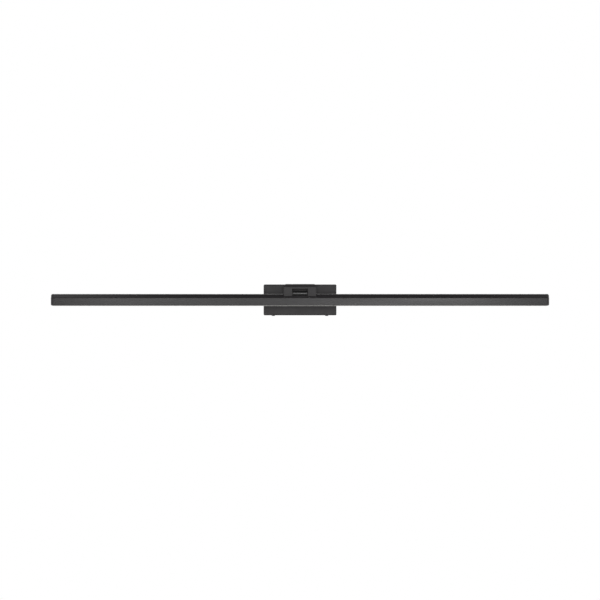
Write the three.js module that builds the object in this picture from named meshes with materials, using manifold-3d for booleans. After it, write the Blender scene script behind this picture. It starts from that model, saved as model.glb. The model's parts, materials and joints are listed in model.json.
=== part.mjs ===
// Vanity light bar: a slim LED bar that tilts on a short arm from a small wall canopy.
//
// Millimetres. +X runs along the bar, +Z is up, the front faces -Y, and the wall is the plane y = 0.
// The origin is the centre of the wall strap's rear face. The canopy side is drawn in that frame.
// The arm head and the whole bar are drawn in groups whose origin is the hinge axis.

import * as THREE from 'three';
import { mergeVertices } from 'three/addons/utils/BufferGeometryUtils.js';
import Module from 'manifold-3d';

const wasm = await Module();
wasm.setup();

// ------------------------------------------------------------------ driving dimensions

const GAP = 0.3; // air between two pieces that touch
const AXIS = { y: -52, z: 11.8 }; // where the hinge axis crosses the middle plane

// Wall side
const CANOPY = { width: 135, height: 57.2, front: -22, rim: -2, sheet: 1.5, corner: 1.8 };
const GASKET = { thickness: 1.7, band: 2.7, inset: 0.3 };
const STRAP = { halfLength: 58, halfHeight: 11, sheet: 1.6, slotFrom: 33, slotTo: 46.5, slotRadius: 2.5 };
const LEG = { x: 49.6, halfWidth: 6, reach: 25.4, lipDepth: 8, flangeZ: -24, flangeDepth: 13.6 };
const SET_SCREW = { y: -8, headRadius: 3.2, headHeight: 1, radius: 1.9, tip: -20 };
const GROUND = { x: 14, z: 5, radius: 1.9, headRadius: 3.4, headHeight: 2.2 };
const LUG = { radius: 3.4, sheet: 0.8, halfWidth: 1.5, barrelFrom: 20, barrelTo: 27, barrelFront: -4.8 };
const FIXING_Z = 23.5; // height of the arm screws and of the lead where they pass the canopy front
const PLATE = { halfLength: 20, bottom: 19.5, top: 26.7, thickness: 2 };
const ARM_SCREW = { x: 9, headRadius: 3.2, headHeight: 2.2, radius: 1.75, tip: -32 };
const GROMMET = { radius: 2.7, flangeRadius: 3.2, bore: 1.4, flange: 1.2, reach: 4 };
const DRIVER = { left: -42, right: 26, bottom: -25.5, top: -2.5, depth: 14.2, sheet: 1.2, tab: 6 };
const TAB = { sheet: 1.5, halfHeight: 4 };
const DRIVER_BOARD = { left: -39, right: 23, bottom: -23, top: -5, front: -18.2, back: -16.8 };
const BOARD_PARTS = [
  { x: [14, 19], z: [-21, -17] },
  { x: [-2, 2], z: [-21, -15] },
  { x: [-26, -23], z: [-12, -7] },
];
const TRANSFORMER = { core: [-21, -5], coil: [-19, -7], bottom: -21, coreTop: -15.5, top: -13.2, back: -8.5 };
const CAPACITOR = { z: -17, shoulder: -8.5, back: -8.1 };
const DRIVER_NUT = { radius: 3, height: 2.2 };
const STUD = { z: -14, radius: 1.5, tip: -14 };
const TERMINAL = { left: 38, right: 60, bottom: -16, top: -4, back: -11, wellRadius: 2, wellDepth: 3 };
const TERMINAL_POLES = [41.5, 49, 56.5];

// Leads
const LEAD = { radius: 1.1, tunnel: 1.9 };

// Arm head and pivot, measured from the hinge axis
const HEAD = { halfWidth: 14, front: -6, bottom: 8.2, top: 17.2, bevelDepth: 4, bevelHeight: 5.4 };
const BARREL = { radius: 5.6, halfLength: 12.7 };
const WEB = { front: -2.6, back: 3, lip: -5.7, foot: 4.8 };
const EAR = { inner: 14.3, outer: 29.8, back: 8, sideBevel: 3.3, bore: 2.9 };
const POCKET = { from: 18.3, radius: 4.8 };
const WASHER = { radius: 5.2, bore: 3, thickness: 1 };
const SLEEVE = { radius: 2.6, bore: 1.5, root: -7.7, nutRadius: 4.4, nut: 2.5 };
const DISC = { radius: 4.4, thickness: 0.8 };
const BOLT = { radius: 2.2, root: 6, headRadius: 4.2, head: 3 };
const CAP_PLUG = { radius: 4.5, thickness: 1.5 };
const TROUGH_RADIUS = 6.2;

// Bar, measured from the hinge axis
const BAR = { length: 914, front: -9.5, back: 10.5, top: -1.05, bottom: -22.35, chamfer: 7, sheet: 1.6 };
const SHELF = { top: -8, thickness: 1.6 };
const END_CAP = { thickness: 4, round: 2.5 };
const PORTS = [{ y: -2.3, z: -5.4 }, { y: 7.1, z: -5.2 }];
const PORT = { radius: 2.3, bore: 1.4 };
const CAP_SCREW = { radius: 1.1, length: 12, headRadius: 2.2, head: 1.8 };
const LENS = { drop: 0.6, thickness: 1.8, leg: 1.2, legTop: -17.8, grooveTop: -18.2, grooveBottom: -19.6 };
const BOARD = { inner: 1, outer: 446, front: -6.5, back: 7.5, thickness: 1.2, chips: 24 };
const CHIP = { length: 3.5, width: 2.8, height: 0.7 };
const BOARD_SCREW = { radius: 1.25, headRadius: 2.3, head: 1.2, tip: -6.5, y: 2.15, afterChip: [6, 22] };
const SADDLE_SCREWS = [{ x: 16.3, y: -2, tip: -4 }, { x: 24, y: 6.3, tip: -1.5 }];
const SADDLE_SCREW = { radius: 1.5, headRadius: 2.6, head: 1.5 };
const CONNECTOR = { from: -72, to: -64, front: 0.6, back: 3.7, top: -4 };
const MOUTH = { depth: 1.5, wall: 0.6, bottom: -8.6, top: -7.2 };
const JUMPER = { halfLength: 6, front: -4.5, back: -1.5, height: 1.6 };

const HOUSING_END = BAR.length / 2 - END_CAP.thickness - GAP;
const SHELF_BOTTOM = SHELF.top - SHELF.thickness;
const BOARD_TOP = SHELF_BOTTOM - GAP;
const BOARD_BOTTOM = BOARD_TOP - BOARD.thickness;
const CHIP_PITCH = (BOARD.outer - BOARD.inner) / BOARD.chips;
const BOARD_SCREW_PLACES = BOARD_SCREW.afterChip.map((count) => BOARD.inner + CHIP_PITCH * count);
const CANOPY_INNER_FRONT = CANOPY.front + CANOPY.sheet;
const INSIDE_FACE = CANOPY_INNER_FRONT + GAP; // where pieces start that rest on the canopy's inner face
const SADDLE_BOTTOM = SHELF.top + GAP;

// ------------------------------------------------------------------ solids

function toSolid(geometry) {
  const bare = geometry.index ? geometry.toNonIndexed() : geometry.clone();
  bare.deleteAttribute('normal');
  bare.deleteAttribute('uv');
  const merged = mergeVertices(bare, 1e-4);
  return new wasm.Manifold(new wasm.Mesh({
    numProp: 3,
    vertProperties: new Float32Array(merged.attributes.position.array),
    triVerts: new Uint32Array(merged.index.array),
  }));
}

function toGeometry(solid) {
  const mesh = solid.getMesh();
  const geometry = new THREE.BufferGeometry();
  geometry.setAttribute('position', new THREE.BufferAttribute(mesh.vertProperties, 3));
  geometry.setIndex(new THREE.BufferAttribute(mesh.triVerts, 1));
  geometry.computeVertexNormals();
  return geometry;
}

const join = (...solids) => solids.reduce((whole, next) => whole.add(next));
const cut = (solid, ...tools) => tools.reduce((rest, tool) => rest.subtract(tool), solid);
const mirrored = (solid) => solid.mirror([1, 0, 0]);

function block([x0, x1], [y0, y1], [z0, z1]) {
  const box = new THREE.BoxGeometry(x1 - x0, y1 - y0, z1 - z0);
  return toSolid(box.translate((x0 + x1) / 2, (y0 + y1) / 2, (z0 + z1) / 2));
}

// Small rounds need fewer flats than large ones.
const sidesFor = (radius) => [[2, 10], [3, 12], [5, 16]].find(([limit]) => radius < limit)?.[1] ?? 28;

// A round bar along X, Y or Z. "at" is the point where its axis crosses the plane of the other two.
function rod(axis, radius, [from, to], at, sides = sidesFor(radius)) {
  const cylinder = new THREE.CylinderGeometry(radius, radius, to - from, sides);
  const middle = (from + to) / 2;
  if (axis === 'x') {
    return toSolid(cylinder.rotateZ(-Math.PI / 2).translate(middle, at[0], at[1]));
  }
  if (axis === 'y') {
    return toSolid(cylinder.translate(at[0], middle, at[1]));
  }
  return toSolid(cylinder.rotateX(Math.PI / 2).translate(at[0], at[1], middle));
}

const X = new THREE.Vector3(1, 0, 0);
const Y = new THREE.Vector3(0, 1, 0);
const Z = new THREE.Vector3(0, 0, 1);

function outline(points) {
  return new THREE.Shape(points.map(([u, v]) => new THREE.Vector2(u, v)));
}

// A section in Y and Z, drawn out along X.
function prismX(points, [from, to], options = {}) {
  const settings = { depth: to - from, bevelEnabled: false, ...options };
  const geometry = new THREE.ExtrudeGeometry(outline(points), settings);
  geometry.applyMatrix4(new THREE.Matrix4().makeBasis(Y, Z, X));
  return toSolid(geometry.translate(from, 0, 0));
}

// A section in X and Z, drawn out along Y from its back to its front.
function prismY(shape, [front, back]) {
  const settings = { depth: back - front, bevelEnabled: false, curveSegments: 5 };
  const geometry = new THREE.ExtrudeGeometry(shape, settings);
  geometry.applyMatrix4(new THREE.Matrix4().makeBasis(X, Z, Y.clone().negate()));
  return toSolid(geometry.translate(0, back, 0));
}

function roundedRectangle(width, height, radius) {
  const [w, h] = [width / 2, height / 2];
  const shape = new THREE.Shape();
  shape.absarc(w - radius, h - radius, radius, 0, Math.PI / 2);
  shape.absarc(radius - w, h - radius, radius, Math.PI / 2, Math.PI);
  shape.absarc(radius - w, radius - h, radius, Math.PI, Math.PI * 1.5);
  shape.absarc(w - radius, radius - h, radius, Math.PI * 1.5, Math.PI * 2);
  return shape;
}

// A flat slot along X with round ends, through a plate that lies in the X-Z plane.
function slot([from, to], radius, depth) {
  return join(
    block([from + radius, to - radius], depth, [-radius, radius]),
    rod('y', radius, depth, [from + radius, 0]),
    rod('y', radius, depth, [to - radius, 0]),
  );
}

// A path of straight runs whose corners are rounded off.
function route(points, bend) {
  const corners = points.map((p) => new THREE.Vector3(...p));
  const path = new THREE.CurvePath();
  let from = corners[0];
  for (let i = 1; i < corners.length - 1; i += 1) {
    const corner = corners[i];
    const back = corners[i - 1].clone().sub(corner);
    const ahead = corners[i + 1].clone().sub(corner);
    const reach = Math.min(bend, back.length() * 0.48, ahead.length() * 0.48);
    const start = corner.clone().add(back.setLength(reach));
    const end = corner.clone().add(ahead.setLength(reach));
    path.add(new THREE.LineCurve3(from, start));
    path.add(new THREE.QuadraticBezierCurve3(start, corner, end));
    from = end;
  }
  path.add(new THREE.LineCurve3(from, corners.at(-1)));
  return path;
}

function tube(path, radius, step, sides = 8) {
  const ring = Array.from({ length: sides }, (_, i) => {
    const angle = (i * 2 * Math.PI) / sides;
    return [radius * Math.cos(angle), radius * Math.sin(angle)];
  });
  const settings = { steps: Math.ceil(path.getLength() / step), extrudePath: path, bevelEnabled: false };
  return toSolid(new THREE.ExtrudeGeometry(outline(ring), settings));
}

// A screw whose head is at "head" and whose shank runs from there to "tip", along X, Y or Z.
function screw(axis, at, { head, headRadius, radius, tip, drive = 0.6 }) {
  const [low, high] = [Math.min(...head), Math.max(...head)];
  const outwards = Math.abs(tip - low) > Math.abs(tip - high) ? low : high;
  const inner = outwards === low ? high : low;
  const recessDepth = (high - low) * drive;
  const recess = outwards === low ? [low - 1, low + recessDepth] : [high - recessDepth, high + 1];
  const shank = [Math.min(inner, tip), Math.max(inner, tip)];
  return cut(
    join(rod(axis, headRadius, [low, high], at), rod(axis, radius, shank, at)),
    rod(axis, headRadius * 0.45, recess, at, 6),
  );
}

// ------------------------------------------------------------------ finishes

const FINISHES = {
  satinBlack: { color: 0x29292a, roughness: 0.45, metalness: 0.4 },
  blackPlastic: { color: 0x1d1d1e, roughness: 0.6, metalness: 0 },
  frosted: { color: 0xe9e6de, roughness: 0.55, metalness: 0 },
  zinc: { color: 0xb4b6b8, roughness: 0.35, metalness: 0.9 },
  steel: { color: 0xc2c3c5, roughness: 0.25, metalness: 1 },
  brass: { color: 0xb08d4a, roughness: 0.3, metalness: 1 },
  foam: { color: 0x2f2f30, roughness: 0.95, metalness: 0 },
  nylon: { color: 0xe6e4dc, roughness: 0.5, metalness: 0 },
  whiteBoard: { color: 0xf0efe9, roughness: 0.45, metalness: 0 },
  greenBoard: { color: 0x1f5b3a, roughness: 0.45, metalness: 0 },
  yellowTape: { color: 0xc9a227, roughness: 0.6, metalness: 0 },
  bluePlastic: { color: 0x1f2f55, roughness: 0.35, metalness: 0 },
  blackWire: { color: 0x18181a, roughness: 0.5, metalness: 0 },
  whiteWire: { color: 0xe4e2dc, roughness: 0.5, metalness: 0 },
  greenWire: { color: 0x2e7a3b, roughness: 0.5, metalness: 0 },
  redWire: { color: 0x8d2622, roughness: 0.5, metalness: 0 },
};

function addPiece(group, name, finish, solid) {
  const mesh = new THREE.Mesh(toGeometry(solid), new THREE.MeshStandardMaterial(FINISHES[finish]));
  mesh.name = name;
  group.add(mesh);
}

// ------------------------------------------------------------------ wall side

// A steel crossbar with a leg up and a leg down near each end, folded forward at the tips.
function wallStrap() {
  const sheet = [-STRAP.sheet, 0];
  const across = [LEG.x - LEG.halfWidth, LEG.x + LEG.halfWidth];
  const bar = block([-STRAP.halfLength, STRAP.halfLength], sheet, [-STRAP.halfHeight, STRAP.halfHeight]);
  const leg = join(
    block(across, sheet, [LEG.flangeZ, LEG.reach]),
    block(across, [-LEG.lipDepth, 0], [LEG.reach - STRAP.sheet, LEG.reach]),
    block(across, [-LEG.flangeDepth, 0], [LEG.flangeZ, LEG.flangeZ + STRAP.sheet]),
  );
  const tapped = rod('z', SET_SCREW.radius + GAP, [LEG.flangeZ - 1, LEG.flangeZ + 3], [LEG.x, SET_SCREW.y]);
  const wallSlot = slot([STRAP.slotFrom, STRAP.slotTo], STRAP.slotRadius, [-3, 1]);
  const side = cut(leg, tapped);
  return cut(
    join(bar, side, mirrored(side)),
    wallSlot,
    mirrored(wallSlot),
    rod('y', GROUND.radius + GAP, [-3, 1], [GROUND.x, GROUND.z]),
  );
}

const LUG_PLATE = [-STRAP.sheet - GAP - LUG.sheet, -STRAP.sheet - GAP];

function groundLug() {
  const height = [GROUND.z - LUG.halfWidth, GROUND.z + LUG.halfWidth];
  return cut(
    join(
      rod('y', LUG.radius, LUG_PLATE, [GROUND.x, GROUND.z]),
      block([GROUND.x, LUG.barrelTo], LUG_PLATE, height),
      block([LUG.barrelFrom, LUG.barrelTo], [LUG.barrelFront, LUG_PLATE[1]], height),
    ),
    rod('y', GROUND.radius + GAP, [LUG.barrelFront - 1, 0], [GROUND.x, GROUND.z]),
  );
}

function groundScrew() {
  const head = LUG_PLATE[0] - GAP;
  return screw('y', [GROUND.x, GROUND.z], { ...GROUND, head: [head - GROUND.headHeight, head], tip: -0.2 });
}

function gasket() {
  const outer = [CANOPY.width - 2 * GASKET.inset, CANOPY.height - 2 * GASKET.inset];
  const inner = outer.map((size) => size - 2 * GASKET.band);
  return cut(
    prismY(roundedRectangle(...outer, CANOPY.corner), [-GASKET.thickness, 0]),
    block([-inner[0] / 2, inner[0] / 2], [-3, 1], [-inner[1] / 2, inner[1] / 2]),
  );
}

// A pressed pan, open to the wall, with two studs for the driver.
function canopy() {
  const inside = [CANOPY.width / 2 - CANOPY.sheet, CANOPY.height / 2 - CANOPY.sheet];
  const through = [CANOPY.front - 1, CANOPY_INNER_FRONT + 1];
  const bottomWall = [-CANOPY.height / 2 - 1, -inside[1] + 1];
  const setScrewHole = rod('z', SET_SCREW.radius + GAP, bottomWall, [LEG.x, SET_SCREW.y]);
  const armScrewHole = rod('y', ARM_SCREW.radius + GAP, through, [ARM_SCREW.x, FIXING_Z]);
  const shell = cut(
    prismY(roundedRectangle(CANOPY.width, CANOPY.height, CANOPY.corner), [CANOPY.front, CANOPY.rim]),
    block([-inside[0], inside[0]], [CANOPY_INNER_FRONT, 0], [-inside[1], inside[1]]),
    setScrewHole,
    mirrored(setScrewHole),
    armScrewHole,
    mirrored(armScrewHole),
    rod('y', GROMMET.radius + GAP, through, [0, FIXING_Z]),
  );
  const stud = (x) => rod('y', STUD.radius, [CANOPY_INNER_FRONT - 0.5, STUD.tip], [x, STUD.z]);
  return join(shell, stud(DRIVER.left - DRIVER.tab / 2), stud(DRIVER.right + DRIVER.tab / 2));
}

function setScrew() {
  const head = -CANOPY.height / 2 - GAP;
  return screw('z', [LEG.x, SET_SCREW.y], { ...SET_SCREW, head: [head - SET_SCREW.headHeight, head] });
}

function armPlate() {
  const through = [INSIDE_FACE - 1, INSIDE_FACE + PLATE.thickness + 1];
  const hole = rod('y', ARM_SCREW.radius + GAP, through, [ARM_SCREW.x, FIXING_Z]);
  const depth = [INSIDE_FACE, INSIDE_FACE + PLATE.thickness];
  return cut(
    block([-PLATE.halfLength, PLATE.halfLength], depth, [PLATE.bottom, PLATE.top]),
    hole,
    mirrored(hole),
    rod('y', GROMMET.radius + GAP, through, [0, FIXING_Z]),
  );
}

function armScrew() {
  const head = INSIDE_FACE + PLATE.thickness + GAP;
  return screw('y', [ARM_SCREW.x, FIXING_Z], { ...ARM_SCREW, head: [head, head + ARM_SCREW.headHeight] });
}

function leadGrommet() {
  const flange = INSIDE_FACE + PLATE.thickness + GAP;
  return cut(
    join(
      rod('y', GROMMET.radius, [flange - GROMMET.reach, flange + 0.2], [0, FIXING_Z]),
      rod('y', GROMMET.flangeRadius, [flange, flange + GROMMET.flange], [0, FIXING_Z]),
    ),
    rod('y', GROMMET.bore, [CANOPY.front - 1, flange + 3], [0, FIXING_Z]),
  );
}

// ------------------------------------------------------------------ driver and terminals

const DRIVER_BACK = INSIDE_FACE + DRIVER.depth;
const LIVE_EXIT = { y: -12, z: -7 };
const NEUTRAL_EXIT = { y: -12, z: -11 };
const OUTPUT_EXIT = { x: -8, y: -12 };

function driverCase() {
  const inner = {
    x: [DRIVER.left + DRIVER.sheet, DRIVER.right - DRIVER.sheet],
    z: [DRIVER.bottom + DRIVER.sheet, DRIVER.top - DRIVER.sheet],
  };
  const tabs = block(
    [DRIVER.left - DRIVER.tab, DRIVER.right + DRIVER.tab],
    [INSIDE_FACE, INSIDE_FACE + TAB.sheet],
    [STUD.z - TAB.halfHeight, STUD.z + TAB.halfHeight],
  );
  const studHole = (x) => rod('y', STUD.radius + GAP, [CANOPY.front, -15], [x, STUD.z]);
  const wall = [DRIVER.right - 3, DRIVER.right + 2];
  return cut(
    join(block([DRIVER.left, DRIVER.right], [INSIDE_FACE, DRIVER_BACK], [DRIVER.bottom, DRIVER.top]), tabs),
    block(inner.x, [INSIDE_FACE + DRIVER.sheet, 0], inner.z),
    studHole(DRIVER.left - DRIVER.tab / 2),
    studHole(DRIVER.right + DRIVER.tab / 2),
    rod('x', LEAD.radius + GAP, wall, [LIVE_EXIT.y, LIVE_EXIT.z]),
    rod('x', LEAD.radius + GAP, wall, [NEUTRAL_EXIT.y, NEUTRAL_EXIT.z]),
    rod('z', LEAD.radius + GAP, [DRIVER.top - 3, DRIVER.top + 2], [OUTPUT_EXIT.x, OUTPUT_EXIT.y]),
  );
}

// A flat cover with a rim that drops inside the case walls.
function driverLid() {
  const clear = DRIVER.sheet + GAP;
  const x = [DRIVER.left + clear, DRIVER.right - clear];
  const z = [DRIVER.bottom + clear, DRIVER.top - clear];
  const rim = [DRIVER_BACK - DRIVER.sheet, DRIVER_BACK + 0.5];
  const cover = [DRIVER_BACK + GAP, DRIVER_BACK + GAP + DRIVER.sheet];
  return join(
    block([DRIVER.left, DRIVER.right], cover, [DRIVER.bottom, DRIVER.top]),
    cut(block(x, rim, z), block([x[0] + 1, x[1] - 1], [-10, 0], [z[0] + 1, z[1] - 1])),
  );
}

const ON_BOARD = DRIVER_BOARD.back + GAP;

function driverBoard() {
  const { left, right, bottom, top, front, back } = DRIVER_BOARD;
  const parts = BOARD_PARTS.map(({ x, z }) => block(x, [back - 0.2, back + 2.5], z));
  return join(block([left, right], [front, back], [bottom, top]), ...parts);
}

function transformer() {
  const { core, coil, bottom, coreTop, top, back } = TRANSFORMER;
  return join(
    block(core, [ON_BOARD, back], [bottom, coreTop]),
    block(coil, [ON_BOARD + 1, back - 1], [coreTop - 0.1, top]),
  );
}

function capacitor(x, radius) {
  return join(
    rod('y', radius, [ON_BOARD, CAPACITOR.shoulder], [x, CAPACITOR.z]),
    rod('y', radius * 0.75, [CAPACITOR.shoulder - 0.1, CAPACITOR.back], [x, CAPACITOR.z]),
  );
}

function driverNut(x) {
  const seat = INSIDE_FACE + TAB.sheet + GAP;
  return cut(
    rod('y', DRIVER_NUT.radius, [seat, seat + DRIVER_NUT.height], [x, STUD.z], 6),
    rod('y', STUD.radius + GAP, [seat - 1, seat + 3], [x, STUD.z]),
  );
}

function terminalBlock() {
  const { left, right, bottom, top, back, wellRadius, wellDepth } = TERMINAL;
  const depth = [back - wellDepth, back + 1];
  const wells = TERMINAL_POLES.map((x) => rod('y', wellRadius, depth, [x, (bottom + top) / 2]));
  return cut(block([left, right], [INSIDE_FACE, back], [bottom, top]), ...wells);
}

// ------------------------------------------------------------------ leads

const SUPPLY_ROUTE = [
  [OUTPUT_EXIT.x, OUTPUT_EXIT.y, DRIVER.top - 2],
  [OUTPUT_EXIT.x, OUTPUT_EXIT.y, 6],
  [0, -9.5, 14],
  [0, -9.5, FIXING_Z],
  [0, AXIS.y, FIXING_Z],
  [0, AXIS.y, AXIS.z],
  [-15, AXIS.y, AXIS.z],
];

// From inside the pivot sleeve, down through the ear and along the top of the bar to the connector.
const BAR_LEAD_ROUTE = [
  [-15 - GAP, 0, 0],
  [-23.6, 0, 0],
  [-26.8, 2.15, -5.3],
  [CONNECTOR.to + GAP, 2.15, -5.3],
];
const BAR_LEAD_BEND = 2.4;

const LIVE_ROUTE = [
  [DRIVER.right - 2, LIVE_EXIT.y, LIVE_EXIT.z],
  [32, LIVE_EXIT.y, LIVE_EXIT.z],
  [TERMINAL.left - 2 * GAP, -15, LIVE_EXIT.z - 0.5],
];

const NEUTRAL_ROUTE = [
  [DRIVER.right - 2, NEUTRAL_EXIT.y, NEUTRAL_EXIT.z],
  [32, NEUTRAL_EXIT.y, NEUTRAL_EXIT.z],
  [TERMINAL.left - 2 * GAP, -15, NEUTRAL_EXIT.z - 0.5],
];

const GROUND_ROUTE = [
  [TERMINAL_POLES[2], -15, TERMINAL.top + GAP],
  [TERMINAL_POLES[2], -13, 8],
  [42, -6, 14],
  [34, -3.4, GROUND.z],
  [LUG.barrelTo + GAP, -3.4, GROUND.z],
];

function lead(points, bend, step) {
  return tube(route(points, bend), LEAD.radius, step);
}

// ------------------------------------------------------------------ arm and pivot (from the hinge axis)

function headSection(back) {
  return [
    [HEAD.front, HEAD.bottom],
    [back, HEAD.bottom],
    [back, HEAD.top],
    [HEAD.front + HEAD.bevelDepth, HEAD.top],
    [HEAD.front, HEAD.top - HEAD.bevelHeight],
  ];
}

// One casting: a flat tongue out from the canopy, a web undercut below its front end, and the hinge barrel.
function arm() {
  const root = CANOPY.front - GAP - AXIS.y;
  const wide = [-HEAD.halfWidth, HEAD.halfWidth];
  const narrow = [-BARREL.halfLength, BARREL.halfLength];
  const z = FIXING_Z - AXIS.z;
  const screwDepth = [ARM_SCREW.tip - 1 - AXIS.y, root + 1];
  const screwHole = rod('y', ARM_SCREW.radius + GAP, screwDepth, [ARM_SCREW.x, z]);
  const web = prismX([
    [WEB.front, 0],
    [WEB.back, 0],
    [WEB.back, HEAD.bottom + 1],
    [WEB.lip, HEAD.bottom + 1],
    [WEB.lip, HEAD.bottom],
    [WEB.front, WEB.foot],
  ], narrow);
  const inArm = [[0, root + 1, z], [0, 0, z], [0, 0, 0], [-BARREL.halfLength - 1, 0, 0]];
  return cut(
    join(
      prismX(headSection(root), wide),
      web,
      rod('x', BARREL.radius, narrow, [0, 0]),
    ),
    screwHole,
    mirrored(screwHole),
    tube(route(inArm, 5), LEAD.tunnel, 2),
    rod('x', SLEEVE.radius + GAP, [-BARREL.halfLength - 1, SLEEVE.root + GAP], [0, 0]),
    rod('x', BOLT.radius + GAP, [BOLT.root - GAP, BARREL.halfLength + 1], [0, 0]),
  );
}

function frictionWasher() {
  const from = BARREL.halfLength + GAP;
  return cut(
    rod('x', WASHER.radius, [from, from + WASHER.thickness], [0, 0]),
    rod('x', WASHER.bore, [from - 1, from + 3], [0, 0]),
  );
}

const DISC_FROM = POCKET.from + GAP;
const NUT_FROM = DISC_FROM + DISC.thickness + GAP;

function discSpring(bore) {
  return cut(
    rod('x', DISC.radius, [DISC_FROM, DISC_FROM + DISC.thickness], [0, 0]),
    rod('x', bore, [DISC_FROM - 1, DISC_FROM + 2], [0, 0]),
  );
}

// A hollow threaded sleeve in the barrel's left end: the left ear turns on it and the lead runs through it.
function pivotSleeve() {
  const tip = -NUT_FROM - SLEEVE.nut;
  return cut(
    rod('x', SLEEVE.radius, [tip, SLEEVE.root], [0, 0]),
    rod('x', SLEEVE.bore, [tip - 1, SLEEVE.root + 1], [0, 0]),
  );
}

function pivotNut() {
  const from = -NUT_FROM - SLEEVE.nut;
  return cut(
    rod('x', SLEEVE.nutRadius, [from, -NUT_FROM], [0, 0], 6),
    rod('x', SLEEVE.radius + GAP, [from - 1, -NUT_FROM + 1], [0, 0]),
  );
}

function pivotBolt() {
  return screw('x', [0, 0], { ...BOLT, head: [NUT_FROM, NUT_FROM + BOLT.head], tip: BOLT.root });
}

// ------------------------------------------------------------------ bar (from the hinge axis)

const BAR_SECTION = [
  [BAR.front, BAR.bottom],
  [BAR.back, BAR.bottom],
  [BAR.back, BAR.top],
  [BAR.front + BAR.chamfer, BAR.top],
  [BAR.front, BAR.top - BAR.chamfer],
];

const WALLS = { front: BAR.front + BAR.sheet, back: BAR.back - BAR.sheet };

// The chamber above the shelf follows the chamfer one sheet in.
function upperChamber() {
  const ceiling = BAR.top - BAR.sheet;
  const slope = BAR.front - BAR.top + BAR.chamfer + BAR.sheet * Math.SQRT2;
  return [
    [SHELF.top + slope, SHELF.top],
    [WALLS.back, SHELF.top],
    [WALLS.back, ceiling],
    [ceiling + slope, ceiling],
  ];
}

function connectorWindow(grow, [low, high]) {
  return block(
    [CONNECTOR.from - grow, CONNECTOR.to + grow],
    [CONNECTOR.front - grow, CONNECTOR.back + grow],
    [low, high],
  );
}

// An extruded channel: a closed chamber on top with two screw ports, and an open one below for the light.
function barHousing() {
  const whole = [-HOUSING_END, HOUSING_END];
  const over = [-HOUSING_END - 1, HOUSING_END + 1];
  const notch = EAR.outer + GAP;
  const grooves = block(over, [WALLS.front - 0.8, WALLS.back + 0.8], [LENS.grooveBottom, LENS.grooveTop]);
  const ports = PORTS.map((p) => rod('x', PORT.radius, whole, [p.y, p.z]));
  const bores = PORTS.map((p) => rod('x', PORT.bore, over, [p.y, p.z]));
  const shelf = [SHELF_BOTTOM - 1, SHELF.top + 1];
  const shelfHoles = [1, -1].flatMap((side) => [
    ...SADDLE_SCREWS.map((s) => rod('z', SADDLE_SCREW.radius + GAP, shelf, [side * s.x, s.y])),
    ...BOARD_SCREW_PLACES.map((x) => rod('z', BOARD_SCREW.radius + GAP, shelf, [side * x, BOARD_SCREW.y])),
  ]);
  return cut(
    join(cut(prismX(BAR_SECTION, whole), prismX(upperChamber(), over)), ...ports),
    ...bores,
    block(over, [WALLS.front, WALLS.back], [BAR.bottom - 1, SHELF_BOTTOM]),
    grooves,
    block([-notch, notch], [BAR.front - 1, BAR.back + 1], [SHELF.top, BAR.top + 1]),
    connectorWindow(0.4, shelf),
    ...shelfHoles,
  );
}

// The bar's half of the hinge: a base that fills the notch in the bar's top, and an ear at each end.
function pivotSaddle() {
  const foot = SADDLE_BOTTOM - BAR.top + BAR.chamfer + BAR.front;
  const base = prismX([
    [foot, SADDLE_BOTTOM],
    [BAR.back, SADDLE_BOTTOM],
    [BAR.back, BAR.top],
    [BAR.front + BAR.chamfer, BAR.top],
  ], [-EAR.outer, EAR.outer]);
  const earSection = [
    [HEAD.front, SADDLE_BOTTOM + 2],
    [EAR.back, SADDLE_BOTTOM + 2],
    [EAR.back, HEAD.top - HEAD.bevelHeight],
    [EAR.back - HEAD.bevelDepth, HEAD.top],
    [HEAD.front + HEAD.bevelDepth, HEAD.top],
    [HEAD.front, HEAD.top - HEAD.bevelHeight],
  ];
  const sideBevel = prismY(outline([
    [EAR.outer, HEAD.top - HEAD.bevelHeight],
    [EAR.outer + 3, HEAD.top - HEAD.bevelHeight],
    [EAR.outer + 3, HEAD.top + 3],
    [EAR.outer - EAR.sideBevel, HEAD.top + 3],
    [EAR.outer - EAR.sideBevel, HEAD.top],
  ]), [HEAD.front - 1, EAR.back + 1]);
  const ear = cut(prismX(earSection, [EAR.inner, EAR.outer]), sideBevel);
  const pocket = rod('x', POCKET.radius, [POCKET.from, EAR.outer + 1], [0, 0]);
  const bore = rod('x', EAR.bore, [EAR.inner - 1, POCKET.from + 1], [0, 0]);
  const screwHoles = [1, -1].flatMap((side) => SADDLE_SCREWS.map((s) =>
    rod('z', SADDLE_SCREW.radius + GAP, [SADDLE_BOTTOM - 1, s.tip + GAP], [side * s.x, s.y])));
  return cut(
    join(base, ear, mirrored(ear)),
    pocket,
    mirrored(pocket),
    bore,
    mirrored(bore),
    rod('x', TROUGH_RADIUS, [-EAR.inner, EAR.inner], [0, 0]),
    ...screwHoles,
    tube(route(BAR_LEAD_ROUTE, BAR_LEAD_BEND), LEAD.tunnel, 1.6),
  );
}

function saddleScrew({ x, y, tip }) {
  const head = SHELF_BOTTOM - GAP;
  return screw('z', [x, y], { ...SADDLE_SCREW, head: [head - SADDLE_SCREW.head, head], tip });
}

function pivotCap() {
  return rod('x', CAP_PLUG.radius, [EAR.outer - CAP_PLUG.thickness, EAR.outer], [0, 0]);
}

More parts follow.
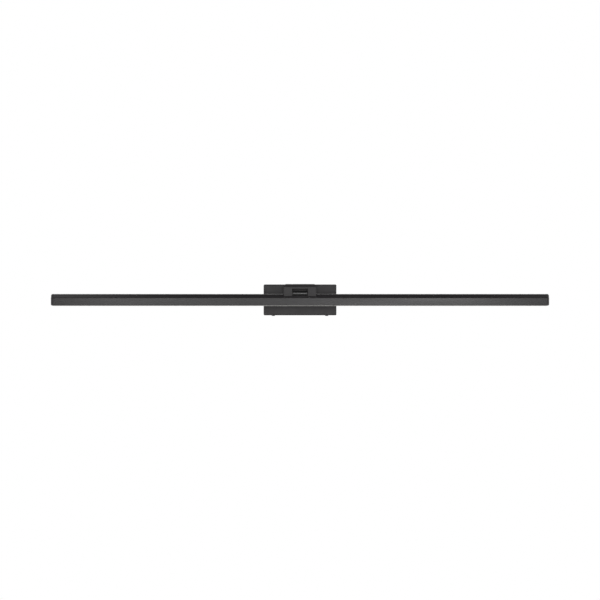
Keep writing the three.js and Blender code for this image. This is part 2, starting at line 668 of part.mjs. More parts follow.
// An LED board: a strip with its chips soldered on, and clearance for the saddle screws.
function ledBoard() {
  const strip = block([BOARD.inner, BOARD.outer], [BOARD.front, BOARD.back], [BOARD_BOTTOM, BOARD_TOP]);
  const middle = (BOARD.front + BOARD.back) / 2;
  const chips = Array.from({ length: BOARD.chips }, (_, i) => {
    const x = BOARD.inner + CHIP_PITCH * (i + 0.5);
    return block(
      [x - CHIP.length / 2, x + CHIP.length / 2],
      [middle - CHIP.width / 2, middle + CHIP.width / 2],
      [BOARD_BOTTOM - CHIP.height, BOARD_BOTTOM + 0.2],
    );
  });
  const through = [BOARD_BOTTOM - 2, BOARD_TOP + 1];
  const holes = [
    ...SADDLE_SCREWS.map((s) => rod('z', SADDLE_SCREW.headRadius + 0.4, through, [s.x, s.y])),
    ...BOARD_SCREW_PLACES.map((x) => rod('z', BOARD_SCREW.radius + GAP, through, [x, BOARD_SCREW.y])),
  ];
  return cut(join(strip, ...chips), ...holes);
}

function boardScrew(x) {
  const head = BOARD_BOTTOM - GAP;
  return screw('z', [x, BOARD_SCREW.y], { ...BOARD_SCREW, head: [head - BOARD_SCREW.head, head] });
}

function boardJumper() {
  const top = BOARD_BOTTOM - GAP;
  const { halfLength, front, back, height } = JUMPER;
  return block([-halfLength, halfLength], [front, back], [top - height, top]);
}

// A frosted channel that snaps into the grooves and stands a little below the housing.
function lens() {
  const whole = [-HOUSING_END, HOUSING_END];
  const bottom = BAR.bottom - LENS.drop;
  const plateTop = bottom + LENS.thickness;
  const [front, back] = [WALLS.front + GAP, WALLS.back - GAP];
  const barb = [LENS.grooveBottom + GAP, LENS.grooveTop - GAP];
  return join(
    block(whole, [front, back], [bottom, plateTop]),
    block(whole, [front, front + LENS.leg], [plateTop - 0.2, LENS.legTop]),
    block(whole, [back - LENS.leg, back], [plateTop - 0.2, LENS.legTop]),
    block(whole, [front - 0.7, front + 0.5], barb),
    block(whole, [back - 0.5, back + 0.7], barb),
  );
}

// A cast end plate with rounded outer edges and two countersunk screw seats.
function endCap() {
  const inner = BAR.length / 2 - END_CAP.thickness;
  const outer = BAR.length / 2;
  const rounded = prismX(BAR_SECTION, [inner - 6, outer - END_CAP.round], {
    bevelEnabled: true,
    bevelThickness: END_CAP.round,
    bevelSize: END_CAP.round,
    bevelOffset: -END_CAP.round,
    bevelSegments: 3,
  });
  const kept = rounded.intersect(block([inner, outer + 1], [-30, 30], [-40, 20]));
  const seat = [outer - CAP_SCREW.head - GAP, outer + 1];
  return cut(
    kept,
    ...PORTS.map((p) => rod('x', CAP_SCREW.radius + GAP, [inner - 1, outer + 1], [p.y, p.z], 12)),
    ...PORTS.map((p) => rod('x', CAP_SCREW.headRadius + GAP, seat, [p.y, p.z], 20)),
  );
}

function endCapScrew({ y, z }) {
  const outer = BAR.length / 2;
  return screw('x', [y, z], {
    ...CAP_SCREW,
    head: [outer - CAP_SCREW.head, outer - 0.1],
    tip: outer - CAP_SCREW.length,
  });
}

function leadConnector() {
  const mouth = block(
    [CONNECTOR.to - MOUTH.depth, CONNECTOR.to + 1],
    [CONNECTOR.front + MOUTH.wall, CONNECTOR.back - MOUTH.wall],
    [MOUTH.bottom, MOUTH.top],
  );
  return cut(connectorWindow(0, [BOARD_TOP + GAP, CONNECTOR.top]), mouth);
}

// ------------------------------------------------------------------ assembly

const lightBar = new THREE.Group();

const wallSide = new THREE.Group();
addPiece(wallSide, 'wall_strap', 'zinc', wallStrap());
addPiece(wallSide, 'ground_lug', 'brass', groundLug());
addPiece(wallSide, 'ground_screw', 'brass', groundScrew());
addPiece(wallSide, 'wall_gasket', 'foam', gasket());
addPiece(wallSide, 'canopy', 'satinBlack', canopy());
addPiece(wallSide, 'set_screw_right', 'satinBlack', setScrew());
addPiece(wallSide, 'set_screw_left', 'satinBlack', mirrored(setScrew()));
addPiece(wallSide, 'arm_plate', 'zinc', armPlate());
addPiece(wallSide, 'arm_screw_right', 'steel', armScrew());
addPiece(wallSide, 'arm_screw_left', 'steel', mirrored(armScrew()));
addPiece(wallSide, 'lead_grommet', 'blackPlastic', leadGrommet());
addPiece(wallSide, 'driver_case', 'nylon', driverCase());
addPiece(wallSide, 'driver_lid', 'nylon', driverLid());
addPiece(wallSide, 'driver_board', 'greenBoard', driverBoard());
addPiece(wallSide, 'driver_transformer', 'yellowTape', transformer());
addPiece(wallSide, 'driver_input_capacitor', 'bluePlastic', capacitor(7.5, 4));
addPiece(wallSide, 'driver_output_capacitor', 'bluePlastic', capacitor(-33, 4.5));
addPiece(wallSide, 'driver_nut_left', 'steel', driverNut(DRIVER.left - DRIVER.tab / 2));
addPiece(wallSide, 'driver_nut_right', 'steel', driverNut(DRIVER.right + DRIVER.tab / 2));
addPiece(wallSide, 'terminal_block', 'nylon', terminalBlock());
addPiece(wallSide, 'live_lead', 'blackWire', lead(LIVE_ROUTE, 4, 2));
addPiece(wallSide, 'neutral_lead', 'whiteWire', lead(NEUTRAL_ROUTE, 4, 2));
addPiece(wallSide, 'ground_lead', 'greenWire', lead(GROUND_ROUTE, 6, 3));
addPiece(wallSide, 'supply_lead', 'redWire', lead(SUPPLY_ROUTE, 5, 2.2));
lightBar.add(wallSide);

const armSide = new THREE.Group();
armSide.position.set(0, AXIS.y, AXIS.z);
addPiece(armSide, 'arm', 'satinBlack', arm());
addPiece(armSide, 'friction_washer_right', 'blackPlastic', frictionWasher());
addPiece(armSide, 'friction_washer_left', 'blackPlastic', mirrored(frictionWasher()));
addPiece(armSide, 'disc_spring_right', 'steel', discSpring(BOLT.radius + GAP));
addPiece(armSide, 'disc_spring_left', 'steel', mirrored(discSpring(SLEEVE.radius + GAP)));
addPiece(armSide, 'pivot_sleeve', 'brass', pivotSleeve());
addPiece(armSide, 'pivot_nut', 'brass', pivotNut());
addPiece(armSide, 'pivot_bolt', 'steel', pivotBolt());
lightBar.add(armSide);

const bar = new THREE.Group();
bar.position.set(0, AXIS.y, AXIS.z);
addPiece(bar, 'bar_housing', 'satinBlack', barHousing());
addPiece(bar, 'pivot_saddle', 'satinBlack', pivotSaddle());
addPiece(bar, 'lens', 'frosted', lens());
addPiece(bar, 'board_jumper', 'nylon', boardJumper());
addPiece(bar, 'lead_connector', 'nylon', leadConnector());
addPiece(bar, 'bar_lead', 'redWire', lead(BAR_LEAD_ROUTE, BAR_LEAD_BEND, 1.6));
for (const [side, reflect] of [['right', (solid) => solid], ['left', mirrored]]) {
  addPiece(bar, `led_board_${side}`, 'whiteBoard', reflect(ledBoard()));
  addPiece(bar, `end_cap_${side}`, 'satinBlack', reflect(endCap()));
  addPiece(bar, `pivot_cap_${side}`, 'satinBlack', reflect(pivotCap()));
  SADDLE_SCREWS.forEach((place, i) => {
    addPiece(bar, `saddle_screw_${side}_${i + 1}`, 'steel', reflect(saddleScrew(place)));
  });
  BOARD_SCREW_PLACES.forEach((x, i) => {
    addPiece(bar, `board_screw_${side}_${i + 1}`, 'steel', reflect(boardScrew(x)));
  });
  PORTS.forEach((place, i) => {
    addPiece(bar, `end_cap_screw_${side}_${i + 1}`, 'satinBlack', reflect(endCapScrew(place)));
  });
}
lightBar.add(bar);

export default lightBar;
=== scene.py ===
"""Vanity light bar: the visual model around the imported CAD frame.

+X runs along the bar, +Z is up and the front faces -Y. Pieces are drawn in millimetres and scaled to metres
as they are made; the setting is in metres. Places come from the CAD boxes, so a piece is where its node is.
"""

import json
import math

import bmesh
import bpy
from mathutils import Matrix, Vector


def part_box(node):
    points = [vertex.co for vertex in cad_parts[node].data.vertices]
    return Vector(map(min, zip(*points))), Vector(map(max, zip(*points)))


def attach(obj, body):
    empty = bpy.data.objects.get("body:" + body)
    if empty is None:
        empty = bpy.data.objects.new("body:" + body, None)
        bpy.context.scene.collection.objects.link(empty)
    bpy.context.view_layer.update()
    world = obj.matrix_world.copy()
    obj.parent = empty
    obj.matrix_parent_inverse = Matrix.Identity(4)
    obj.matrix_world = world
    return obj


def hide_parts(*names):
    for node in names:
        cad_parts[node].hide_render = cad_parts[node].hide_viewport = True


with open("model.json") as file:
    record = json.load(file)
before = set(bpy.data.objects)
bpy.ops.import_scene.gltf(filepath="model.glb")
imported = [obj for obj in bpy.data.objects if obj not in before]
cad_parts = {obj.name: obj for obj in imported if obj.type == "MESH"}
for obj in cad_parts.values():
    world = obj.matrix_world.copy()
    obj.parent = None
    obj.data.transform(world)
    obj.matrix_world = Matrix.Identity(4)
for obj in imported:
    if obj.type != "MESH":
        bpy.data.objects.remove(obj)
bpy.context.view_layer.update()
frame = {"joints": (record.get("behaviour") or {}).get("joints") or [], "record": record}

MM = 0.001


def new_object(name, data):
    obj = bpy.data.objects.new(name, data)
    bpy.context.scene.collection.objects.link(obj)
    return obj


# -------- camera

BAR_SHARE = 0.8313  # share of the view's width that the bar fills
CAMERA_DISTANCE = 4.0
VIEW_DROP = 0.35 * MM  # how far the view's centre is below the housing's middle


def make_camera():
    """A long lens, square on to the bar's front at the height of its middle."""
    low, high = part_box("bar_housing")
    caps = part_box("end_cap_left")[0].x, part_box("end_cap_right")[1].x
    data = bpy.data.cameras.new("camera")
    view_width = (caps[1] - caps[0]) / BAR_SHARE
    data.lens = data.sensor_width * CAMERA_DISTANCE / view_width
    camera = new_object("camera", data)
    camera.location = (0, low.y - CAMERA_DISTANCE, (low.z + high.z) / 2 - VIEW_DROP)
    camera.rotation_euler = (math.pi / 2, 0, 0)
    bpy.context.scene.camera = camera


make_camera()

# -------- materials


class Graph:
    """Short-hand for building a node tree."""

    def __init__(self, tree):
        self.tree = tree

    def add(self, kind, inputs=(), **settings):
        """A new node, with its settings and the (socket, value) pairs of its unlinked inputs."""
        node = self.tree.nodes.new(kind)
        for key, value in settings.items():
            setattr(node, key, value)
        for socket, value in inputs:
            node.inputs[socket].default_value = value
        return node

    def link(self, source, target):
        self.tree.links.new(source, target)

    def ramp(self, factor, stops):
        ramp = self.add("ShaderNodeValToRGB")
        elements = ramp.color_ramp.elements
        while len(elements) < len(stops):
            elements.new(0.5)
        for element, (position, colour) in zip(elements, stops):
            element.position = position
            element.color = (*colour, 1)
        self.link(factor, ramp.inputs["Fac"])
        return ramp.outputs["Color"]

    def span(self, factor, low, high, start=0.3, end=0.7):
        span = self.add("ShaderNodeMapRange", [
            ("From Min", start), ("From Max", end), ("To Min", low), ("To Max", high),
        ])
        self.link(factor, span.inputs["Value"])
        return span.outputs["Result"]


MATERIALS = {}  # by the name that each was asked for, filled in by Surface.finish


class Surface(Graph):
    """A material's node tree, with textures laid out in the object's own space."""

    def __init__(self, name):
        self.name = name
        self.material = bpy.data.materials.new(name)
        self.material.use_nodes = True
        super().__init__(self.material.node_tree)
        self.shader = self.tree.nodes["Principled BSDF"]
        self.place = self.add("ShaderNodeTexCoord").outputs["Object"]

    def noise(self, scale, stretch=(1, 1, 1), detail=3.0):
        mapping = self.add("ShaderNodeMapping", [("Scale", stretch)])
        self.link(self.place, mapping.inputs["Vector"])
        noise = self.add("ShaderNodeTexNoise", [("Scale", scale), ("Detail", detail), ("Roughness", 0.55)])
        self.link(mapping.outputs["Vector"], noise.inputs["Vector"])
        return noise.outputs["Fac"]

    def tone(self, factor, colour, vary):
        """The colour, drifting darker and lighter by a share of itself."""
        return self.ramp(factor, [(0.3, shade(colour, 1 - vary)), (0.7, shade(colour, 1 + vary))])

    def bump(self, height, strength, depth_mm, under=None):
        bump = self.add("ShaderNodeBump", [("Strength", strength), ("Distance", depth_mm * MM)])
        self.link(height, bump.inputs["Height"])
        if under:
            self.link(under, bump.inputs["Normal"])
        return bump.outputs["Normal"]

    def finish(self, colour, roughness, normal, **uniform):
        for socket, source in (("Base Color", colour), ("Roughness", roughness), ("Normal", normal)):
            self.link(source, self.shader.inputs[socket])
        for key, value in uniform.items():
            self.shader.inputs[key.replace("_", " ")].default_value = value
        MATERIALS[self.name] = self.material
        return self.material


def shade(colour, factor):
    return tuple(min(1.0, channel * factor) for channel in colour)


def coated(name, colour, roughness, peel_scale, peel_mm, streak=(1, 1, 1)):
    """A sprayed or powder coat: orange peel, a finer tooth, and faint drifts of tone and gloss."""
    n = Surface(name)
    peel = n.noise(peel_scale, streak, detail=2)
    tooth = n.noise(peel_scale * 4, streak, detail=2)
    tone = n.tone(n.noise(14, detail=4), colour, 0.1)
    gloss = n.span(n.noise(60, streak, detail=4), roughness - 0.03, roughness + 0.04)
    return n.finish(tone, gloss, n.bump(tooth, 0.25, peel_mm * 0.3, under=n.bump(peel, 0.5, peel_mm)))


def plated(name, colour, roughness, scale, patchy=0.12):
    """Bare or plated metal with a fine grain and cloudy patches."""
    n = Surface(name)
    tone = n.tone(n.noise(90, detail=5), colour, patchy)
    grain = n.noise(scale)
    gloss = n.span(grain, roughness - 0.06, roughness + 0.08)
    return n.finish(tone, gloss, n.bump(grain, 0.3, 0.01), Metallic=1.0)


def moulded(name, colour, roughness, scale=1500, depth=0.012, vary=0.04):
    """Moulded plastic or rubber with a spark-eroded texture."""
    n = Surface(name)
    texture = n.noise(scale)
    gloss = n.span(texture, roughness - 0.05, roughness + 0.05)
    return n.finish(n.tone(n.noise(40), colour, vary), gloss, n.bump(texture, 0.4, depth))


def frosted_lens():
    """A milky extruded diffuser: fine frosting, faint draw lines along its length, and a faint painted
    glow, though no lamp is in it.
    """
    n = Surface("frosted_lens")
    frost = n.noise(2600, detail=2)
    draw = n.noise(700, (0.02, 1, 1), detail=2)
    tone = n.ramp(n.noise(30, (0.1, 1, 1)), [(0.3, (0.8, 0.79, 0.75)), (0.7, (0.86, 0.85, 0.81))])
    normal = n.bump(draw, 0.3, 0.01, under=n.bump(frost, 0.4, 0.01))
    # The emission is a painted glow: the unlit lens gives off a little light of its own to look brighter.
    return n.finish(tone, n.span(frost, 0.42, 0.55), normal, IOR=1.49,
                    Emission_Color=(1, 0.98, 0.93, 1), Emission_Strength=0.09)


def foam():
    """Closed-cell foam: small dark cells in a matt skin."""
    n = Surface("black_foam")
    voronoi = n.add("ShaderNodeTexVoronoi", [("Scale", 1300)])
    n.link(n.place, voronoi.inputs["Vector"])
    cells = voronoi.outputs["Distance"]
    tone = n.ramp(cells, [(0.05, (0.012, 0.012, 0.012)), (0.5, (0.04, 0.04, 0.041))])
    return n.finish(tone, n.span(n.noise(300), 0.8, 0.95), n.bump(cells, 0.8, 0.2))


def circuit_board(name, mask, copper, line_scale):
    """Solder mask over copper: the tracks show as a slightly lighter, raised pattern."""
    n = Surface(name)
    bricks = n.add("ShaderNodeTexBrick", [
        ("Scale", line_scale), ("Mortar Size", 0.03), ("Mortar Smooth", 0.1),
        ("Color1", (*mask, 1)), ("Color2", (*shade(mask, 1.05), 1)), ("Mortar", (*copper, 1)),
    ])
    turn = n.add("ShaderNodeMapping", [("Rotation", (math.pi / 2, 0, 0))])
    n.link(n.place, turn.inputs["Vector"])
    n.link(turn.outputs["Vector"], bricks.inputs["Vector"])
    normal = n.bump(bricks.outputs["Fac"], 0.4, 0.03)
    return n.finish(bricks.outputs["Color"], n.span(n.noise(400), 0.35, 0.45), normal)


def turned_metal(name, colour, roughness):
    """Machined round: fine rings around the X axis under a thin black finish."""
    n = Surface(name)
    rings = n.noise(2400, (1, 0.02, 0.02))
    gloss = n.span(rings, roughness - 0.04, roughness + 0.04)
    return n.finish(n.tone(n.noise(60), colour, 0.08), gloss, n.bump(rings, 0.25, 0.004), IOR=2.2)


BLACK = (0.031, 0.0284, 0.0302)
BOARD_GREEN, GREEN_TRACKS = (0.02, 0.11, 0.045), (0.04, 0.2, 0.08)
BOARD_WHITE, WHITE_TRACKS = (0.72, 0.72, 0.68), (0.6, 0.59, 0.54)
coated("satin_black_metal", shade(BLACK, 1.3), 0.42, 900, 0.02)
coated("black_extrusion", BLACK, 0.2, 1100, 0.008, streak=(0.08, 1, 1))
coated("black_casting", shade(BLACK, 1.15), 0.4, 1000, 0.018)
turned_metal("barrel_black", (0.006, 0.006, 0.0063), 0.14)
frosted_lens()
plated("zinc_steel", (0.38, 0.39, 0.39), 0.36, 700, patchy=0.2)
plated("bright_steel", (0.48, 0.48, 0.49), 0.26, 1600)
plated("brass", (0.52, 0.34, 0.12), 0.28, 1600)
foam()
moulded("black_rubber", (0.02, 0.02, 0.02), 0.7, vary=0.1)
moulded("black_plastic", (0.018, 0.018, 0.019), 0.5, vary=0.1)
moulded("white_plastic", (0.66, 0.65, 0.6), 0.45)
circuit_board("circuit_board_green", BOARD_GREEN, GREEN_TRACKS, 180)
circuit_board("circuit_board_white", BOARD_WHITE, WHITE_TRACKS, 60)
moulded("yellow_tape", (0.55, 0.36, 0.03), 0.4, scale=300, depth=0.04, vary=0.1)
moulded("blue_sleeve", (0.015, 0.03, 0.11), 0.25, scale=500, vary=0.1)
moulded("black_wire", (0.015, 0.015, 0.015), 0.42)
moulded("white_wire", (0.62, 0.61, 0.57), 0.42)
moulded("green_wire", (0.02, 0.2, 0.04), 0.42)
moulded("red_wire", (0.3, 0.015, 0.012), 0.42)
moulded("phosphor", (0.75, 0.55, 0.08), 0.3, scale=3000, vary=0.06)

# -------- the frame's nodes

NODE_BODY = {n: body for body, nodes in frame["record"]["behaviour"]["bodies"].items() for n in nodes}
NODE_SLOT = {s["node"]: s["material_slot"] for s in frame["record"]["subparts"]}
SIDES = {"left": -1, "right": 1}  # each side's direction along X


def box(node):
    """A node's lowest and highest corners, in millimetres."""
    low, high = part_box(node)
    return low / MM, high / MM


def middle(node):
    low, high = box(node)
    return (low + high) / 2


def nodes_named(*starts):
    return [node for node in NODE_BODY if node.startswith(starts)]


def inner_outer(node, outward):
    """A node's two ends along X, the one nearer to the hinge's middle first."""
    low, high = box(node)
    return (low.x, high.x) if outward > 0 else (high.x, low.x)


def measure(node, axis):
    """A node's two ends along an axis, then its centre and its half widths across that axis."""
    low, high = box(node)
    index = "xyz".index(axis)
    across = [i for i in range(3) if i != index]
    centre = tuple((low[i] + high[i]) / 2 for i in across)
    halves = tuple((high[i] - low[i]) / 2 for i in across)
    return (low[index], high[index]), centre, halves


# -------- shapes


def on_plane(axis, along, u, v):
    """The point (u, v) on a plane across an axis: (Y, Z) across X, (X, Z) across Y, (X, Y) across Z."""
    return {"x": (along, u, v), "y": (u, along, v), "z": (u, v, along)}[axis]


def quarter_turn(steps):
    return [math.pi / 2 * step / steps for step in range(steps + 1)]


def rounded(corners, steps=6):
    """Corners are (u, v, radius). Gives the outline's points with each corner turned into an arc."""
    points = []
    for i, (u, v, radius) in enumerate(corners):
        corner = Vector((u, v))
        if not radius:
            points.append((u, v))
            continue
        back = Vector(corners[i - 1][:2]) - corner
        ahead = Vector(corners[(i + 1) % len(corners)][:2]) - corner
        angle = back.angle(ahead)
        reach = min(radius / math.tan(angle / 2), back.length * 0.49, ahead.length * 0.49)
        radius = reach * math.tan(angle / 2)
        bisector = (back.normalized() + ahead.normalized()).normalized()
        centre = corner + bisector * (radius / math.sin(angle / 2))
        start = corner + back.normalized() * reach - centre
        sweep = start.angle_signed(corner + ahead.normalized() * reach - centre)
        for step in range(steps + 1):
            spoke = start.copy()
            spoke.rotate(Matrix.Rotation(-sweep * step / steps, 2))
            points.append(tuple(centre + spoke))
    return points


def rectangle(centre, width, height, radius):
    (u, v), w, h = centre, width / 2, height / 2
    return [(u - w, v - h, radius), (u + w, v - h, radius), (u + w, v + h, radius), (u - w, v + h, radius)]


def circle(centre, radius, sides=48, phase=0.0):
    turn = 2 * math.pi / sides
    return [
        (centre[0] + radius * math.cos(turn * i + phase), centre[1] + radius * math.sin(turn * i + phase))
        for i in range(sides)
    ]


def skin(bm, loops, round_trip=False):
    """Joins loops of vertices with faces. The ends are closed, unless the last loop meets the first."""
    following = loops[1:] + loops[:1] if round_trip else loops[1:]
    for low, high in zip(loops, following):
        for i in range(len(low)):
            j = (i + 1) % len(low)
            bm.faces.new((low[i], low[j], high[j], high[i]))
    if not round_trip:
        bm.faces.new(loops[0][::-1])
        bm.faces.new(loops[-1])
    bmesh.ops.recalc_face_normals(bm, faces=bm.faces)
    return bm


def loft(axis, rings, round_trip=False):
    """Rings are (along, points), all with as many points. Gives a closed solid with flat ends."""
    bm = bmesh.new()
    loops = [[bm.verts.new(on_plane(axis, along, u, v)) for u, v in points] for along, points in rings]
    return skin(bm, loops, round_trip)


def tunnel(axis, rings):
    """As loft, but the last ring joins the first, which leaves a way through."""
    return loft(axis, rings, round_trip=True)


def prism(axis, start, end, points):
    """An outline drawn out between two places along an axis, which come in either order."""
    return loft(axis, [(along, points) for along in sorted((start, end))])


def brick(low, high, radius=0.0):
    """A block between two corners, with its edges along Y rounded."""
    centre = ((low[0] + high[0]) / 2, (low[2] + high[2]) / 2)
    outline = rounded(rectangle(centre, high[0] - low[0], high[2] - low[2], radius))
    return prism("y", low[1], high[1], outline)


def ring_maker(centre, width, height, steps):
    """Gives a function for the rings of a pan or a frame: a rectangle across Y, drawn in by an inset."""
    def ring(y, inset, radius):
        return y, rounded(rectangle(centre, width - 2 * inset, height - 2 * inset, radius), steps)
    return ring


def turned(axis, centre, profile, sides=48):
    """A solid of revolution. The profile is (along, radius); a bore comes back along its inside."""
    rings = [(along, circle(centre, radius, sides)) for along, radius in profile]
    solid_ends = profile[0][0] != profile[-1][0]
    return loft(axis, rings) if solid_ends else tunnel(axis, rings[:-1])


def washer_profile(low, high, outer, inner, edge):
    """The section of a ring with its four edges eased, closed on its first point."""
    centre = ((low + high) / 2, (inner + outer) / 2)
    points = rounded(rectangle(centre, high - low, outer - inner, edge), 3)
    return points + points[:1]


def object_from(name, bm):
    bmesh.ops.scale(bm, vec=(MM, MM, MM), verts=bm.verts)
    mesh = bpy.data.meshes.new(name)
    bm.to_mesh(mesh)
    bm.free()
    return new_object(name, mesh)


def settle(obj):
    """Applies the object's modifiers to its mesh."""
    bpy.context.view_layer.update()
    evaluated = obj.evaluated_get(bpy.context.evaluated_depsgraph_get())
    mesh = bpy.data.meshes.new_from_object(evaluated)
    obj.modifiers.clear()
    obj.data = mesh
    mesh.name = obj.name


def combine(obj, operation, tools):
    """Cuts solids from an object, or joins them to it, for good."""
    made = [object_from("tool", bm) for bm in tools]
    for tool in made:
        modifier = obj.modifiers.new("solid", "BOOLEAN")
        modifier.operation = operation
        modifier.solver = "EXACT"
        modifier.object = tool
    settle(obj)
    for tool in made:
        bpy.data.objects.remove(tool)


def soften(obj, width, segments=3):
    """Rounds every sharp edge and keeps the flat faces flat."""
    bevel = obj.modifiers.new("edges", "BEVEL")
    bevel.width = width * MM
    bevel.segments = segments
    bevel.limit_method = "ANGLE"
    bevel.angle_limit = math.radians(32)
    bevel.miter_outer = "MITER_ARC"
    settle(obj)


def place(obj, node):
    """Gives a finished piece its smooth shading, its material and its body, and hides its CAD node."""
    mesh = obj.data
    mesh.materials.clear()
    mesh.materials.append(MATERIALS[NODE_SLOT[node]])
    mesh.shade_smooth()
    mesh.set_sharp_from_angle(angle=math.radians(40))
    normals = obj.modifiers.new("normals", "WEIGHTED_NORMAL")
    normals.keep_sharp = True
    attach(obj, NODE_BODY[node])
    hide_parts(node)


def piece(node, bm, edge=0.0, cut=(), add=(), segments=3):
    """Turns a shape into the finished piece that stands for one CAD node."""
    obj = object_from(node + "_piece", bm)
    if add:
        combine(obj, "UNION", add)
    if cut:
        combine(obj, "DIFFERENCE", cut)
    if edge:
        soften(obj, edge, segments)
    place(obj, node)


# -------- driving dimensions

AIR = 0.3  # the gap between neighbours, as in the CAD
SHEET = 1.6  # the housing's wall, and the strap's steel
BAR_LOW, BAR_HIGH = box("bar_housing")
CHAMFER = 7.0

AXIS = tuple(value / MM for value in frame["joints"][0]["pos_m"][1:])  # Y and Z of the hinge axis
SHELF_TOP = AXIS[1] - 8.0
EAR_FRONT, EAR_BACK = AXIS[0] - 6, AXIS[0] + 8
BEVEL_DEPTH, BEVEL_HEIGHT, SIDE_BEVEL = 4.0, 5.4, 3.3
BARREL_RADIUS, TROUGH_RADIUS = 5.6, 6.2

# Radii of holes
SPRING_POCKET, SLEEVE_HOLE, BOLT_HOLE, LEAD_WAY = 4.8, 2.9, 2.5, 1.9
ARM_SCREW_HOLE, GROMMET_HOLE, GROUND_HOLE, WIRE_HOLE = 2.05, 3.0, 2.2, 1.4
SET_SCREW_HOLE, SET_SCREW_THREAD, END_SCREW_HOLE, SHELF_HOLE, STUD_HOLE = 2.3, 2.2, 1.4, 1.7, 1.8

STUD_RADIUS, STUD_TIP = 1.5, -14


def section(inset=0.0):
    """The bar's outline in Y and Z: a rectangle with its upper front corner cut at 45 degrees."""
    front, back = BAR_LOW.y + inset, BAR_HIGH.y - inset
    bottom, top = BAR_LOW.z + inset, BAR_HIGH.z - inset
    slope = CHAMFER - inset * (2 - math.sqrt(2))
    edge = max(0.9 - inset, 0.25)
    return rounded([
        (front, bottom, edge),
        (back, bottom, edge),
        (back, top, edge),
        (front + slope, top, edge * 1.8),
        (front, top - slope, edge * 2.2),
    ])


# -------- bar


def wall_corners(outer, inward):
    """A wall of the channel from its foot up to the shelf, with the lens groove in its inner face."""
    inner = outer + inward * SHEET
    deep = inner - inward * 0.8
    lens_top = box("lens")[1].z
    groove_low, groove_high = lens_top - 1.8, lens_top - 0.4
    return [
        (outer, BAR_LOW.z, 0.45),
        (inner, BAR_LOW.z, 0.3),
        (inner, groove_low, 0),
        (deep, groove_low, 0.15),
        (deep, groove_high, 0.15),
        (inner, groove_high, 0),
        (inner, SHELF_TOP - SHEET, 0.6),
    ]


def channel_outline():
    """The extrusion's section: two walls, and the chamfer above the front one."""
    return rounded([
        *wall_corners(BAR_LOW.y, 1),
        *wall_corners(BAR_HIGH.y, -1)[::-1],
        (BAR_HIGH.y, BAR_HIGH.z, 0.9),
        (BAR_LOW.y + CHAMFER, BAR_HIGH.z, 2.6),
        (BAR_LOW.y, BAR_HIGH.z - CHAMFER, 2.0),
    ])


def chamber_outline():
    """The closed hollow above the shelf."""
    back, ceiling = BAR_HIGH.y - SHEET, BAR_HIGH.z - SHEET
    slope = BAR_LOW.y + CHAMFER - BAR_HIGH.z + SHEET * math.sqrt(2)  # inner chamfer: y = z + slope
    return rounded([
        (SHELF_TOP + slope, SHELF_TOP, 0.5),
        (back, SHELF_TOP, 0.5),
        (back, ceiling, 0.5),
        (ceiling + slope, ceiling, 0.5),
    ])


def make_housing():
    """The extruded channel, with screw ports in its chamber, a notch for the hinge, holes in its shelf."""
    over = (BAR_LOW.x - 1, BAR_HIGH.x + 1)
    shelf = (SHELF_TOP - SHEET - 0.5, SHELF_TOP + 0.5)
    notch = box("pivot_saddle")[1].x + AIR
    lead_low, lead_high = box("lead_connector")
    window_air, port_radius = 0.4, 2.3
    ports = [middle(n).yz for n in nodes_named("end_cap_screw_right")]
    housing = object_from("bar_housing_piece", prism("x", BAR_LOW.x, BAR_HIGH.x, channel_outline()))
    combine(housing, "DIFFERENCE", [prism("x", *over, chamber_outline())])
    combine(housing, "UNION", [
        prism("x", BAR_LOW.x, BAR_HIGH.x, circle(p, port_radius, 32, 0.05)) for p in ports
    ])
    combine(housing, "DIFFERENCE", [
        *[prism("x", *over, circle(p, END_SCREW_HOLE, 24)) for p in ports],
        brick((-notch, BAR_LOW.y - 1, SHELF_TOP), (notch, BAR_HIGH.y + 1, BAR_HIGH.z + 1)),
        brick((lead_low.x - window_air, lead_low.y - window_air, shelf[0]),
              (lead_high.x + window_air, lead_high.y + window_air, shelf[1])),
        *[prism("z", *shelf, circle(middle(n).xy, SHELF_HOLE, 24))
          for n in nodes_named("saddle_screw", "board_screw")],
    ])
    place(housing, "bar_housing")


def make_end_cap(side):
    """A cast end plate whose outer edges roll over into the end face, with two screw seats."""
    node, outward = "end_cap_" + side, SIDES[side]
    inner, outer = inner_outer(node, outward)
    ease, roll = 0.15, 3.2
    seat_radius, seat_depth = 2.5, 2.1
    rings = [(inner, section(ease)), (inner + outward * ease, section())]
    for angle in quarter_turn(10):
        along = outer - outward * roll * (1 - math.sin(angle))
        rings.append((along, section(roll * (1 - math.cos(angle)))))
    seats = []
    for name in nodes_named("end_cap_screw_" + side):
        centre = middle(name).yz
        seats.append(prism("x", outer - outward * seat_depth, outer + outward, circle(centre, seat_radius)))
        seats.append(prism("x", inner - outward, outer, circle(centre, END_SCREW_HOLE, 24)))
    piece(node, loft("x", rings), cut=seats)


def make_lens():
    """The frosted snap-in diffuser: a shallow channel whose legs carry small barbs."""
    low, high = box("lens")
    wall, barb_reach = 1.2, 0.7
    floor, barb_low, barb_high = low.z + 1.8, high.z - 1.5, high.z - 0.7

    def leg(outer, outward):
        inner = outer - outward * wall
        return [
            (outer, low.z, 0.7),
            (outer, barb_low, 0.1),
            (outer + outward * barb_reach, barb_low, 0.2),
            (outer, barb_high, 0.1),
            (outer, high.z, 0.3),
            (inner, high.z, 0.3),
            (inner, floor, 0.6),
        ]

    gap = SHEET + AIR
    outline = rounded([*leg(BAR_HIGH.y - gap, 1), *leg(BAR_LOW.y + gap, -1)[::-1]])
    piece("lens", prism("x", low.x, high.x, outline))


